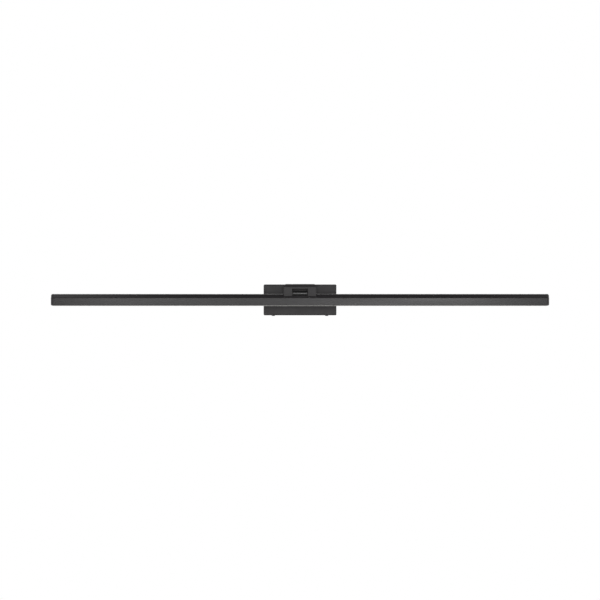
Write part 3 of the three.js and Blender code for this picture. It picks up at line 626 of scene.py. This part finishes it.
def make_saddle():
    """The bar's half of the hinge: a base flush with the bar, two bevelled ears, a trough between them."""
    low, high = box("pivot_saddle")
    bottom, top, shoulder = low.z, high.z, high.z - BEVEL_HEIGHT
    root = bottom + 2  # the ears start inside the base
    ear_inner = box("friction_washer_right")[1].x + AIR
    pocket = box("disc_spring_right")[0].x - AIR
    base = rounded([
        (BAR_LOW.y + bottom - (BAR_HIGH.z - CHAMFER), bottom, 0),
        (BAR_HIGH.y, bottom, 0),
        (BAR_HIGH.y, BAR_HIGH.z, 0.9),
        (BAR_LOW.y + CHAMFER, BAR_HIGH.z, 1.4),
    ])
    ear = rounded([
        (EAR_FRONT, root, 0),
        (EAR_BACK, root, 0),
        (EAR_BACK, shoulder, 0.8),
        (EAR_BACK - BEVEL_DEPTH, top, 0.8),
        (EAR_FRONT + BEVEL_DEPTH, top, 0.8),
        (EAR_FRONT, shoulder, 0.8),
    ])
    ears, cuts = [], []
    for side in (1, -1):
        outer, start = side * high.x, side * (high.x - SIDE_BEVEL)
        past, above = outer + side * 3, top + 3
        slope = [(outer, shoulder), (past, shoulder), (past, above), (start, above), (start, top)]
        ears.append(prism("x", side * ear_inner, outer, ear))
        cuts.append(prism("y", EAR_FRONT - 1, EAR_BACK + 1, slope))
        cuts.append(prism("x", side * pocket, outer + side, circle(AXIS, SPRING_POCKET)))
        cuts.append(prism("x", side * (ear_inner - 1), side * (pocket + 1), circle(AXIS, SLEEVE_HOLE)))
    cuts.append(prism("x", -ear_inner, ear_inner, circle(AXIS, TROUGH_RADIUS, 96)))
    cuts.append(tube_mesh(BAR_LEAD_ROUTE[1:3], LEAD_WAY, 16, overshoot=6))
    piece("pivot_saddle", prism("x", low.x, high.x, base), edge=0.45, add=ears, cut=cuts)


def make_pivot_cap(side):
    """A thin plug that closes the ear's outer end, with a shallow dish."""
    node, outward = "pivot_cap_" + side, SIDES[side]
    inner, outer = inner_outer(node, outward)
    radius = measure(node, "x")[2][0]
    rim = [(0.45, 0), (0.2, 0.12), (0.06, 0.35), (0, 0.7), (0, 1.2), (0.12, 1.7)]  # (depth, inset)
    profile = [(inner, radius - 0.3), (inner + outward * 0.3, radius)]
    profile += [(outer - outward * depth, radius - inset) for depth, inset in rim]
    profile.append((outer - outward * 0.25, radius * 0.3))
    piece(node, turned("x", AXIS, profile))


CHIPS = 24  # on each board
BOARD_THICKNESS = 1.2


def make_board(side):
    """An LED strip. Each chip is a white package with a phosphor window."""
    node, outward = "led_board_" + side, SIDES[side]
    low, high = box(node)
    centre = middle(node).xy
    underside = high.z - BOARD_THICKNESS
    plate = rounded(rectangle(centre, high.x - low.x, high.y - low.y, 1.0))
    holes = []  # wide for the saddle screws' heads, narrow for the board screws' shanks
    for prefix, radius in (("saddle_screw_", 3.0), ("board_screw_", 1.55)):
        for name in nodes_named(prefix + side):
            holes.append(prism("z", underside - 1, high.z + 1, circle(middle(name).xy, radius, 32)))
    piece(node, prism("z", underside, high.z, plate), edge=0.1, cut=holes, segments=1)
    packages, windows = bmesh.new(), bmesh.new()
    inner = inner_outer(node, outward)[0]
    pitch = (high.x - low.x) / CHIPS
    for i in range(CHIPS):
        add_chip(packages, windows, (inner + outward * pitch * (i + 0.5), centre.y), underside, low.z)
    for name, bm, material in (("packages", packages, "white_plastic"), ("phosphor", windows, "phosphor")):
        part = object_from(f"led_{name}_{side}", bm)
        part.data.materials.append(MATERIALS[material])
        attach(part, NODE_BODY[node])


def add_chip(packages, windows, centre, top, bottom):
    """A 3.5 by 2.8 mm package with a dished reflector, and the phosphor that fills the dish."""
    package = [
        (top, 3.5, 2.8), (bottom + 0.08, 3.5, 2.8), (bottom, 3.34, 2.64),
        (bottom, 2.7, 2.1), (bottom + 0.22, 2.3, 1.7),
    ]
    window = [(bottom + 0.2, 2.3, 1.7), (bottom + 0.1, 2.48, 1.88), (bottom + 0.12, 1.6, 1.1)]
    for bm, rings in ((packages, package), (windows, window)):
        skin(bm, [
            [bm.verts.new((x, y, z)) for x, y in rounded(rectangle(centre, width, depth, 0.25), 3)]
            for z, width, depth in rings
        ])


# -------- fasteners


def make_screw(node, axis, head_end, head, shank, drive="hex", domed=True):
    """A screw along an axis. head_end is -1 when its head is at the low end, 1 when at the high end."""
    ends, centre, (radius, _) = measure(node, axis)
    tip, top = ends if head_end > 0 else ends[::-1]
    seat = top - head_end * head
    crown = (0.3 if domed else 0.12) * head
    dome = [(0, 0.55), (0.15, 0.75), (0.5, 0.92), (1, 1)]  # (share of the crown down, share of the radius)
    profile = [(top - head_end * crown * down, radius * wide) for down, wide in dome]
    profile += [(seat + head_end * 0.08, radius), (seat, radius - 0.1), (seat, shank + 0.15)]
    profile += thread_profile(seat, tip, head_end, shank)
    if drive == "hex":
        outlines = [circle(centre, radius * 0.46, 6)]
    else:
        cross = (radius * 1.24, radius * 0.26)
        outlines = [rounded(rectangle(centre, *size, 0.05), 2) for size in (cross, cross[::-1])]
    recess = [prism(axis, top + head_end, top - head_end * head * 0.6, outline) for outline in outlines]
    piece(node, turned(axis, centre, profile[::-1] if head_end > 0 else profile, 40), cut=recess)


def thread_profile(seat, tip, head_end, radius):
    """Rings of a rolled thread from under the head to the tip, drawn as grooves."""
    pitch = max(0.5, radius * 0.36)
    length = abs(seat - tip)
    turns = max(2, int(length / pitch) - 1)
    step = (length - 0.8) / turns
    points = [(seat - head_end * 0.3, radius)]
    for turn in range(turns):
        for share, depth in ((0.1, 0), (0.5, pitch * 0.5), (0.9, 0)):
            points.append((seat - head_end * (0.3 + step * (turn + share)), radius - depth))
    points.append((tip + head_end * 0.35, radius - 0.05))
    points.append((tip, radius * 0.7))
    return points


def make_fasteners():
    """Every screw: its node, its axis, where its head is, the head's height and the shank's radius."""
    for side, outward in SIDES.items():
        make_screw("set_screw_" + side, "z", -1, 1.0, 1.9)
        make_screw("arm_screw_" + side, "y", 1, 2.2, 1.75, "cross")
        for i in (1, 2):
            make_screw(f"saddle_screw_{side}_{i}", "z", -1, 1.5, 1.5, "cross")
            make_screw(f"board_screw_{side}_{i}", "z", -1, 1.2, 1.25, "cross")
            make_screw(f"end_cap_screw_{side}_{i}", "x", outward, 1.7, 1.1, domed=False)
    make_screw("ground_screw", "y", -1, 2.2, 1.9, "cross")
    make_screw("pivot_bolt", "x", 1, 3.0, 2.2, domed=False)


def make_ring(node, bore, edge, proud=0.0):
    """A round with a bore on the hinge axis, standing proud of its node at both ends."""
    (low, high), _, (radius, _) = measure(node, "x")
    piece(node, turned("x", AXIS, washer_profile(low - proud, high + proud, radius, bore, edge)))


def make_nut(node, axis, bore):
    """A hexagon nut with its corners chamfered on both faces."""
    ends, centre, halves = measure(node, axis)
    corner_radius = max(halves)
    edge = corner_radius * 0.1
    cone = turned(axis, centre, [
        (ends[0], corner_radius - edge * 1.4), (ends[0] + edge, corner_radius + 0.02),
        (ends[1] - edge, corner_radius + 0.02), (ends[1], corner_radius - edge * 1.4),
    ])
    phase = math.pi / 6 if halves[0] < halves[1] else 0
    nut = object_from(node + "_piece", prism(axis, *ends, circle(centre, corner_radius, 6, phase)))
    combine(nut, "INTERSECT", [cone])
    combine(nut, "DIFFERENCE", [prism(axis, ends[0] - 1, ends[1] + 1, circle(centre, bore, 32))])
    soften(nut, 0.08, 2)
    place(nut, node)


def make_rings_and_nuts():
    """The hinge's washers, disc springs, nut and hollow sleeve, and the nuts on the canopy's studs."""
    for side, spring_bore in (("left", SLEEVE_HOLE), ("right", BOLT_HOLE)):
        make_ring("friction_washer_" + side, 3.0, 0.12, proud=0.2)
        make_ring("disc_spring_" + side, spring_bore, 0.12)
        make_nut("driver_nut_" + side, "y", STUD_HOLE)
    make_nut("pivot_nut", "x", SLEEVE_HOLE)
    make_ring("pivot_sleeve", 1.5, 0.25)


def make_grommet():
    """A rubber bush through the canopy's front and the arm plate, with its flange behind them."""
    (front, back), centre, (radius, _) = measure("lead_grommet", "y")
    bore, neck, flange = 1.4, 2.7, back - 1.2
    profile = rounded([
        (front, bore, 0.3), (back, bore, 0.5), (back, radius, 0.5),
        (flange, radius, 0.2), (flange, neck, 0.1), (front, neck, 0.4),
    ], 4)
    piece("lead_grommet", turned("y", centre, profile + profile[:1]))


# -------- leads

# The routes of the leads, as they run through the CAD parts.
SUPPLY_ROUTE = [
    (-8, -12, -4.5), (-8, -12, 6), (0, -9.5, 14), (0, -9.5, 23.5),
    (0, AXIS[0], 23.5), (0, AXIS[0], AXIS[1]), (-15, AXIS[0], AXIS[1]),
]
BAR_LEAD_ROUTE = [
    (-15.3, AXIS[0], AXIS[1]), (-23.6, AXIS[0], AXIS[1]),
    (-26.8, AXIS[0] + 2.15, AXIS[1] - 5.3), (-63.7, AXIS[0] + 2.15, AXIS[1] - 5.3),
]
LIVE_ROUTE = [(24, -12, -7), (32, -12, -7), (37.4, -15, -7.5)]
NEUTRAL_ROUTE = [(24, -12, -11), (32, -12, -11), (37.4, -15, -11.5)]
GROUND_ROUTE = [(56.5, -15, -3.7), (56.5, -13, 8), (42, -6, 14), (34, -3.4, 5), (27.3, -3.4, 5)]
LEAD_RADIUS = 1.08


def smooth_path(corners, bend, steps=8):
    """Straight runs with each corner turned into a quadratic bend, as in the CAD."""
    points = [Vector(p) for p in corners]
    path = [points[0]]
    for before, corner, after in zip(points, points[1:], points[2:]):
        back, ahead = before - corner, after - corner
        reach = min(bend, back.length * 0.48, ahead.length * 0.48)
        start, end = corner + back.normalized() * reach, corner + ahead.normalized() * reach
        for i in range(steps + 1):
            t = i / steps
            path.append(start * (1 - t) ** 2 + corner * 2 * t * (1 - t) + end * t ** 2)
    path.append(points[-1])
    return path


def tube_mesh(corners, radius, sides, bend=0.0, overshoot=0.0):
    """A round tube along a path, with rings square to it and flat ends."""
    path = smooth_path(corners, bend) if bend else [Vector(p) for p in corners]
    if overshoot:
        path[0] = path[0] + (path[0] - path[1]).normalized() * overshoot
        path[-1] = path[-1] + (path[-1] - path[-2]).normalized() * overshoot
    bm = bmesh.new()
    up = Vector((0.3, 0.8, 0.5)).normalized()
    loops = []
    for i, point in enumerate(path):
        along = (path[min(i + 1, len(path) - 1)] - path[max(i - 1, 0)]).normalized()
        side = along.cross(up).normalized()
        up = side.cross(along).normalized()
        ring = circle((0, 0), radius, sides)
        loops.append([bm.verts.new(point + side * u + up * v) for u, v in ring])
    return skin(bm, loops)


def make_leads():
    for node, corners, bend in (
        ("supply_lead", SUPPLY_ROUTE, 5), ("bar_lead", BAR_LEAD_ROUTE, 2.4), ("live_lead", LIVE_ROUTE, 4),
        ("neutral_lead", NEUTRAL_ROUTE, 4), ("ground_lead", GROUND_ROUTE, 6),
    ):
        piece(node, tube_mesh(corners, LEAD_RADIUS, 20, bend))


# -------- wall side


def arm_screw_holes(front, back, sides):
    screw = middle("arm_screw_right")
    return [prism("y", front, back, circle((s * screw.x, screw.z), ARM_SCREW_HOLE, sides)) for s in (1, -1)]


def grommet_hole(front, back, sides):
    return prism("y", front, back, circle(middle("lead_grommet").xz, GROMMET_HOLE, sides))


def make_canopy():
    """A pressed pan with rolled front edges, a flat rim and two welded studs."""
    low, high = box("canopy")
    sheet, corner, roll, inner_roll = 1.5, 2.4, 2.3, 0.9
    floor = low.y + sheet
    draw = ring_maker((0, 0), high.x - low.x, high.z - low.z, 8)

    def ring(y, inset):
        return draw(y, inset, max(corner - inset, 0.4))

    outer = [ring(high.y, 0.25), ring(high.y - 0.25, 0)]
    for angle in quarter_turn(10):
        outer.append(ring(low.y + roll * (1 - math.sin(angle)), roll * (1 - math.cos(angle))))
    outer.append(ring(low.y, roll + 1.2))
    inner = [ring(floor, sheet + inner_roll), ring(floor + inner_roll * 0.3, sheet + inner_roll * 0.3)]
    inner += [ring(floor + inner_roll, sheet), ring(high.y + 1, sheet)]
    canopy = object_from("canopy_piece", loft("y", outer))
    combine(canopy, "DIFFERENCE", [loft("y", inner)])
    screw = middle("set_screw_right")
    holes = [*arm_screw_holes(low.y - 1, floor + 1, 32), grommet_hole(low.y - 1, floor + 1, 32)]
    for x in (screw.x, -screw.x):
        holes.append(prism("z", low.z - 1, low.z + 3, circle((x, screw.y), SET_SCREW_HOLE, 40)))
    combine(canopy, "DIFFERENCE", holes)
    studs = []
    for node in nodes_named("driver_nut"):
        weld = [(floor - 0.4, STUD_RADIUS), (floor + 0.6, STUD_RADIUS)]
        thread = thread_profile(floor + 0.5, STUD_TIP, -1, STUD_RADIUS)
        studs.append(turned("y", middle(node).xz, weld + thread, 24))
    combine(canopy, "UNION", studs)
    place(canopy, "canopy")


def make_gasket():
    """A foam frame with its four long edges eased."""
    low, high = box("wall_gasket")
    band, ease = 2.7, 0.35
    ring = ring_maker((0, 0), high.x - low.x, high.z - low.z, 8)
    part = ease * 0.3
    piece("wall_gasket", tunnel("y", [
        ring(low.y, ease, 1.6), ring(low.y + part, part, 1.8), ring(low.y + ease, 0, 2),
        ring(high.y - ease, 0, 2), ring(high.y - part, part, 1.8), ring(high.y, ease, 1.6),
        ring(high.y, band - ease, 0.8), ring(high.y - ease, band, 0.6),
        ring(low.y + ease, band, 0.6), ring(low.y, band - ease, 0.8),
    ]))


def make_strap():
    """The crossbar: pressed steel with slots, a tapped earth hole, and legs folded forward at the tips."""
    low, high = box("wall_strap")
    screw = middle("set_screw_right")
    plate_height, leg_width, upper_reach = 22, 12, 8
    slot_centre, slot_length, slot_width = 39.75, 13.5, 5
    through = (-3, 1)
    fold = rounded([
        (0, low.z, 1.9), (0, high.z, 1.9),
        (-upper_reach, high.z, 0.5), (-upper_reach, high.z - SHEET, 0.5),
        (-SHEET, high.z - SHEET, 0.4), (-SHEET, low.z + SHEET, 0.4),
        (low.y, low.z + SHEET, 0.5), (low.y, low.z, 0.5),
    ])
    legs, cuts = [], []
    for side in (1, -1):
        leg = side * screw.x
        slot = rounded(rectangle((side * slot_centre, 0), slot_length, slot_width, 2.45), 10)
        legs.append(prism("x", leg - leg_width / 2, leg + leg_width / 2, fold))
        cuts.append(prism("y", *through, slot))
        cuts.append(prism("z", low.z - 1, low.z + 3, circle((leg, screw.y), SET_SCREW_THREAD, 32)))
    cuts.append(prism("y", *through, circle(middle("ground_screw").xz, GROUND_HOLE, 32)))
    plate = rounded(rectangle((0, 0), high.x - low.x, plate_height, 2.5))
    piece("wall_strap", prism("y", -SHEET, 0, plate), edge=0.22, add=legs, cut=cuts, segments=2)


def make_ground_lug():
    """A ring terminal under the ground screw, with a tongue and a crimped barrel for the lead."""
    low, high = box("ground_lug")
    screw, centre = middle("ground_screw"), middle("ground_lug")
    thick, tongue_width, barrel_length, barrel_width = 0.8, 3, 7, 3
    ring_radius = screw.x - low.x
    ring = prism("y", high.y - thick, high.y, circle(screw.xz, ring_radius))
    tongue = brick((screw.x, high.y - thick, screw.z - tongue_width / 2),
                   (high.x - 1, high.y, screw.z + tongue_width / 2), 0.2)
    barrel = prism("x", high.x - barrel_length, high.x,
                   rounded(rectangle((centre.y, screw.z), high.y - low.y, barrel_width, 1.2)))
    hole = prism("y", low.y - 1, high.y + 1, circle(screw.xz, GROUND_HOLE, 40))
    piece("ground_lug", ring, edge=0.12, add=[tongue, barrel], cut=[hole], segments=2)


def make_arm_plate():
    """The flat plate behind the canopy's front that the arm screws clamp."""
    low, high = box("arm_plate")
    through = (low.y - 1, high.y + 1)
    holes = [*arm_screw_holes(*through, 40), grommet_hole(*through, 40)]
    piece("arm_plate", brick(low, high, 1.2), edge=0.2, cut=holes)


def make_arm():
    """One casting: a bevelled tongue from the canopy, a web with a cove, and the hinge barrel."""
    low, high = box("arm")
    washer = box("friction_washer_right")[0].x - AIR
    hood_bottom = AXIS[1] + 8.2
    hood = rounded([
        (low.y, hood_bottom, 0.5),
        (high.y, hood_bottom, 0),
        (high.y, high.z, 0),
        (low.y + BEVEL_DEPTH, high.z, 0.8),
        (low.y, high.z - BEVEL_HEIGHT, 0.8),
    ])
    web_front, web_back, cove_front = AXIS[0] - 2.6, AXIS[0] + 3, AXIS[0] - 5.7
    cove_depth, cove_height = 3.1, 3.4
    web_top = hood_bottom + 1  # inside the hood
    web = [(web_front, AXIS[1]), (web_back, AXIS[1]), (web_back, web_top), (cove_front, web_top)]
    for a in quarter_turn(8):
        web.append((cove_front + cove_depth * math.sin(a), hood_bottom - cove_height * (1 - math.cos(a))))
    lead_z = middle("arm_screw_right").z
    lead_way = [(0, high.y + 2, lead_z), (0, AXIS[0], lead_z), (0, *AXIS), (-washer - 1, *AXIS)]
    sleeve_seat, bolt_seat = -7.4, 5.7
    arm = object_from("arm_piece", prism("x", low.x, high.x, hood))
    combine(arm, "UNION", [prism("x", -washer, washer, web)])
    soften(arm, 0.4)
    combine(arm, "UNION", [prism("x", -washer, washer, circle(AXIS, BARREL_RADIUS, 96))])
    combine(arm, "DIFFERENCE", [
        *arm_screw_holes(box("arm_screw_right")[0].y - 1, high.y + 1, 32),
        tube_mesh(lead_way, LEAD_WAY, 20, 5),
        prism("x", -washer - 1, sleeve_seat, circle(AXIS, SLEEVE_HOLE, 40)),
        prism("x", bolt_seat, washer + 1, circle(AXIS, BOLT_HOLE, 40)),
    ])
    place(arm, "arm")
    polish_barrel(arm, washer)


def polish_barrel(arm, half_length):
    """The turned face of the barrel has its own, brighter finish."""
    arm.data.materials.append(MATERIALS["barrel_black"])
    for face in arm.data.polygons:
        centre = face.center / MM
        reach = math.hypot(centre.y - AXIS[0], centre.z - AXIS[1])
        on_barrel = BARREL_RADIUS - 0.2 < reach < BARREL_RADIUS + 0.1 and abs(face.normal.x) < 0.2
        if on_barrel and abs(centre.x) < half_length - 0.05:
            face.material_index = 1


# -------- driver and terminals


def make_driver_case():
    """A tray with a tab at each end for its nut, open at the back, with holes for the three leads."""
    low, high = box("driver_case")
    lid_low, lid_high = box("driver_lid")
    wall, tab_thickness, tab_half = 1.2, 1.5, 4
    nuts = [middle(node) for node in nodes_named("driver_nut")]
    ring = ring_maker(middle("driver_lid").xz, lid_high.x - lid_low.x, high.z - low.z, 6)
    case = loft("y", [ring(low.y, 0.4, 1.1), ring(low.y + 0.4, 0, 1.5), ring(high.y, 0, 1.5)])
    hollow = loft("y", [ring(low.y + wall, wall, 0.5), ring(high.y + 1, wall, 0.5)])
    tabs = brick((low.x, low.y, nuts[0].z - tab_half),
                 (high.x, low.y + tab_thickness, nuts[0].z + tab_half), 2.5)
    side_wall, top_wall = (lid_high.x - 3, lid_high.x + 2), (high.z - 3, high.z + 2)
    driver = object_from("driver_case_piece", case)
    combine(driver, "UNION", [tabs])
    combine(driver, "DIFFERENCE", [
        hollow,
        *[prism("y", low.y - 1, low.y + 3, circle(nut.xz, STUD_HOLE, 32)) for nut in nuts],
        prism("x", *side_wall, circle(LIVE_ROUTE[0][1:], WIRE_HOLE, 32)),
        prism("x", *side_wall, circle(NEUTRAL_ROUTE[0][1:], WIRE_HOLE, 32)),
        prism("z", *top_wall, circle(SUPPLY_ROUTE[0][:2], WIRE_HOLE, 32)),
    ])
    soften(driver, 0.15, 2)
    place(driver, "driver_case")


def make_driver_lid():
    """A moulded cover with a raised field and two finger notches, and a rim that drops into the case."""
    low, high = box("driver_lid")
    centre = middle("driver_lid").xz
    plate_front = high.y - 1.2
    ring = ring_maker(centre, high.x - low.x, high.z - low.z, 6)
    plate = loft("y", [
        ring(plate_front, 0, 1.5), ring(high.y - 0.55, 0, 1.5), ring(high.y - 0.3, 0.25, 1.3),
        ring(high.y - 0.3, 2.4, 1.2), ring(high.y - 0.1, 2.6, 1.1), ring(high.y, 3.0, 1.0),
    ])
    clear, rim_wall, rim_root = 1.5, 1, plate_front + 0.3
    rim = tunnel("y", [
        ring(low.y, clear, 0.5), ring(rim_root, clear, 0.5),
        ring(rim_root, clear + rim_wall, 0.4), ring(low.y, clear + rim_wall, 0.4),
    ])
    notches = [
        prism("x", x - 3, x + 3, circle((high.y + 0.5, centre.y), 0.9, 24))
        for x in (low.x + 6, high.x - 6)
    ]
    piece("driver_lid", plate, edge=0.1, add=[rim], cut=notches, segments=2)


# Small parts on the driver's board: opposite corners as (x, z), then height and corner radius.
BOARD_PARTS = [
    ((14, -21), (19, -17), 2.5, 0.6),
    ((-2, -21), (2, -15), 2.5, 0.4),
    ((-26, -12), (-23, -7), 2.5, 0.3),
    ((3, -9.5), (6.5, -7.5), 0.9, 0.2),
    ((9, -9.5), (12.5, -7.5), 0.9, 0.2),
    ((-18, -9), (-13, -6.5), 1.2, 0.2),
]


def make_driver_board():
    low, high = box("driver_board")
    back = low.y + 1.4
    inset = 2.5  # from the board's edges to its corner holes
    blocks = [
        brick((a[0], back - 0.2, a[1]), (b[0], back + tall, b[1]), radius)
        for a, b, tall, radius in BOARD_PARTS
    ]
    holes = [
        prism("y", low.y - 1, back + 1, circle((x, z), 1.1, 24))
        for x in (low.x + inset, high.x - inset) for z in (low.z + inset, high.z - inset)
    ]
    plate = brick(low, (high.x, back, high.z), 0.8)
    piece("driver_board", plate, edge=0.12, add=blocks, cut=holes, segments=2)


def make_transformer():
    """A core with a taped winding standing on it."""
    low, high = box("driver_transformer")
    core_top = low.z + 5.5
    core = brick(low, (high.x, high.y, core_top), 0.6)
    winding = brick((low.x + 2, low.y + 1, core_top - 0.2), (high.x - 2, high.y - 1, high.z), 0.8)
    piece("driver_transformer", core, edge=0.3, add=[winding])


def make_capacitor(node):
    """A can with a crimped groove near its base and a dished, scored top."""
    (base, top), centre, (radius, _) = measure(node, "y")
    profile = [
        (base, radius - 0.3), (base + 0.3, radius), (base + 1.1, radius), (base + 1.4, radius - 0.25),
        (base + 1.8, radius - 0.25), (base + 2.1, radius), (top - 0.9, radius), (top - 0.55, radius - 0.12),
        (top - 0.4, radius - 0.45), (top - 0.5, radius * 0.82), (top - 0.5, radius * 0.75),
        (top - 0.1, radius * 0.74), (top, radius * 0.7),
    ]
    piece(node, turned("y", centre, profile))


def make_terminal_block():
    """Three poles, each with a screw well and its slot, parted by grooves."""
    low, high = box("terminal_block")
    centre = middle("terminal_block")
    pitch, back = 7.5, high.y
    cuts = []
    for x in (centre.x - pitch, centre.x, centre.x + pitch):
        cuts.append(prism("y", back - 3, back + 1, circle((x, centre.z), 2, 40)))
        cuts.append(brick((x - 0.25, back - 3.6, centre.z - 1.6), (x + 0.25, back - 2.9, centre.z + 1.6)))
    for x in (centre.x - pitch / 2, centre.x + pitch / 2):
        cuts.append(brick((x - 0.4, back - 1.2, low.z - 1), (x + 0.4, back + 1, high.z + 1)))
    piece("terminal_block", brick(low, high, 0.6), edge=0.2, cut=cuts, segments=2)


def make_lead_connector():
    """The block that the bar lead enters, through a mouth in the end nearer to the hinge."""
    low, high = box("lead_connector")
    mouth = brick((high.x - 1.5, low.y + 0.6, low.z + 1.0), (high.x + 1, high.y - 0.6, low.z + 2.4))
    piece("lead_connector", brick(low, high, 0.4), edge=0.15, cut=[mouth], segments=2)


def make_board_jumper():
    """The bridge between the two LED boards, with a groove across it."""
    low, high = box("board_jumper")
    groove = brick((-0.5, low.y - 1, low.z - 1), (0.5, high.y + 1, low.z + 0.5))
    piece("board_jumper", brick(low, high, 0.3), edge=0.2, cut=[groove], segments=2)


# -------- setting


def make_floor():
    """A pale floor well below the light, out of the picture."""
    bm = bmesh.new()
    bmesh.ops.create_grid(bm, x_segments=12, y_segments=12, size=1200)
    obj = object_from("floor", bm)
    obj.location = (0, -0.4, -1.6)
    paint = moulded("floor_paint", (0.68, 0.68, 0.68), 0.8, scale=30, depth=0.05, vary=0.01)
    obj.data.materials.append(paint)


# Each light: name, place, aim, width and height, radiance.
LIGHTS = [
    ("left_softbox", (-0.65, -5.0, 0.1), (-0.65, 0, 0), (0.35, 2.4), 3.15),
    ("right_softbox", (0.5, -5.0, 0.1), (0.5, 0, 0), (0.5, 2.4), 3.65),
    ("centre_strip", (0, -5.0, 0.1), (0, 0, 0), (0.16, 0.7), 1.6),
    ("left_overhead", (-1.1, -0.2, 3), (-0.7, 0, 0), (1.4, 1.0), 0.75),
    ("right_overhead", (1.35, -0.2, 3), (1.0, 0, 0), (1.2, 1.0), 0.75),
    ("top_edge_light", (0, 2.1, 3), (0, 0, 0), (2.4, 0.7), 6),
]


def make_light(name, place_m, aim_m, size, radiance):
    data = bpy.data.lights.new(name, "AREA")
    data.shape = "RECTANGLE"
    data.size, data.size_y = size
    data.energy = radiance * math.pi * size[0] * size[1]
    light = new_object(name, data)
    light.location = place_m
    light.rotation_euler = (Vector(aim_m) - Vector(place_m)).to_track_quat("-Z", "Y").to_euler()


# The world's grey from straight down, at 0, to straight up, at 1.
WORLD_GREYS = ((0.0, 0.05), (0.36, 0.2), (0.5, 0.62), (0.64, 0.27), (1.0, 0.02))


def make_world():
    """White to the camera. As a light it is bright behind, at the sides and round the horizon."""
    world = bpy.data.worlds.new("studio")
    world.use_nodes = True
    bpy.context.scene.world = world
    world.node_tree.nodes.clear()
    g = Graph(world.node_tree)
    split = g.add("ShaderNodeSeparateXYZ")
    g.link(g.add("ShaderNodeTexCoord").outputs["Generated"], split.inputs[0])
    height = g.span(split.outputs["Z"], 0, 1, -1, 1)
    by_height = g.ramp(height, [(at, (grey, grey, grey)) for at, grey in WORLD_GREYS])
    sideways = g.add("ShaderNodeMath", operation="ABSOLUTE")
    g.link(split.outputs["X"], sideways.inputs[0])
    total = g.add("ShaderNodeMath", operation="MULTIPLY_ADD")
    g.link(by_height, total.inputs[0])
    g.link(g.span(split.outputs["Y"], 1, 5, 0.2, 1), total.inputs[1])
    g.link(g.span(sideways.outputs[0], 0, 0.7, 0.35, 0.9), total.inputs[2])
    lit, seen = [g.add("ShaderNodeBackground", [("Color", (1, 1, 1, 1))]) for _ in range(2)]
    g.link(total.outputs[0], lit.inputs["Strength"])
    mix = g.add("ShaderNodeMixShader")
    g.link(g.add("ShaderNodeLightPath").outputs["Is Camera Ray"], mix.inputs["Fac"])
    g.link(lit.outputs[0], mix.inputs[1])
    g.link(seen.outputs[0], mix.inputs[2])
    g.link(mix.outputs[0], g.add("ShaderNodeOutputWorld").inputs["Surface"])


make_housing()
make_end_cap("left")
make_end_cap("right")
make_lens()
make_saddle()
make_pivot_cap("left")
make_pivot_cap("right")
make_board("right")
make_board("left")
make_fasteners()
make_rings_and_nuts()
make_grommet()
make_leads()
make_canopy()
make_gasket()
make_strap()
make_ground_lug()
make_arm_plate()
make_arm()
make_driver_case()
make_driver_lid()
make_driver_board()
make_transformer()
make_capacitor("driver_input_capacitor")
make_capacitor("driver_output_capacitor")
make_terminal_block()
make_lead_connector()
make_board_jumper()
make_floor()
make_world()
for values in LIGHTS:
    make_light(*values)
bpy.context.scene.view_settings.view_transform = "Standard"
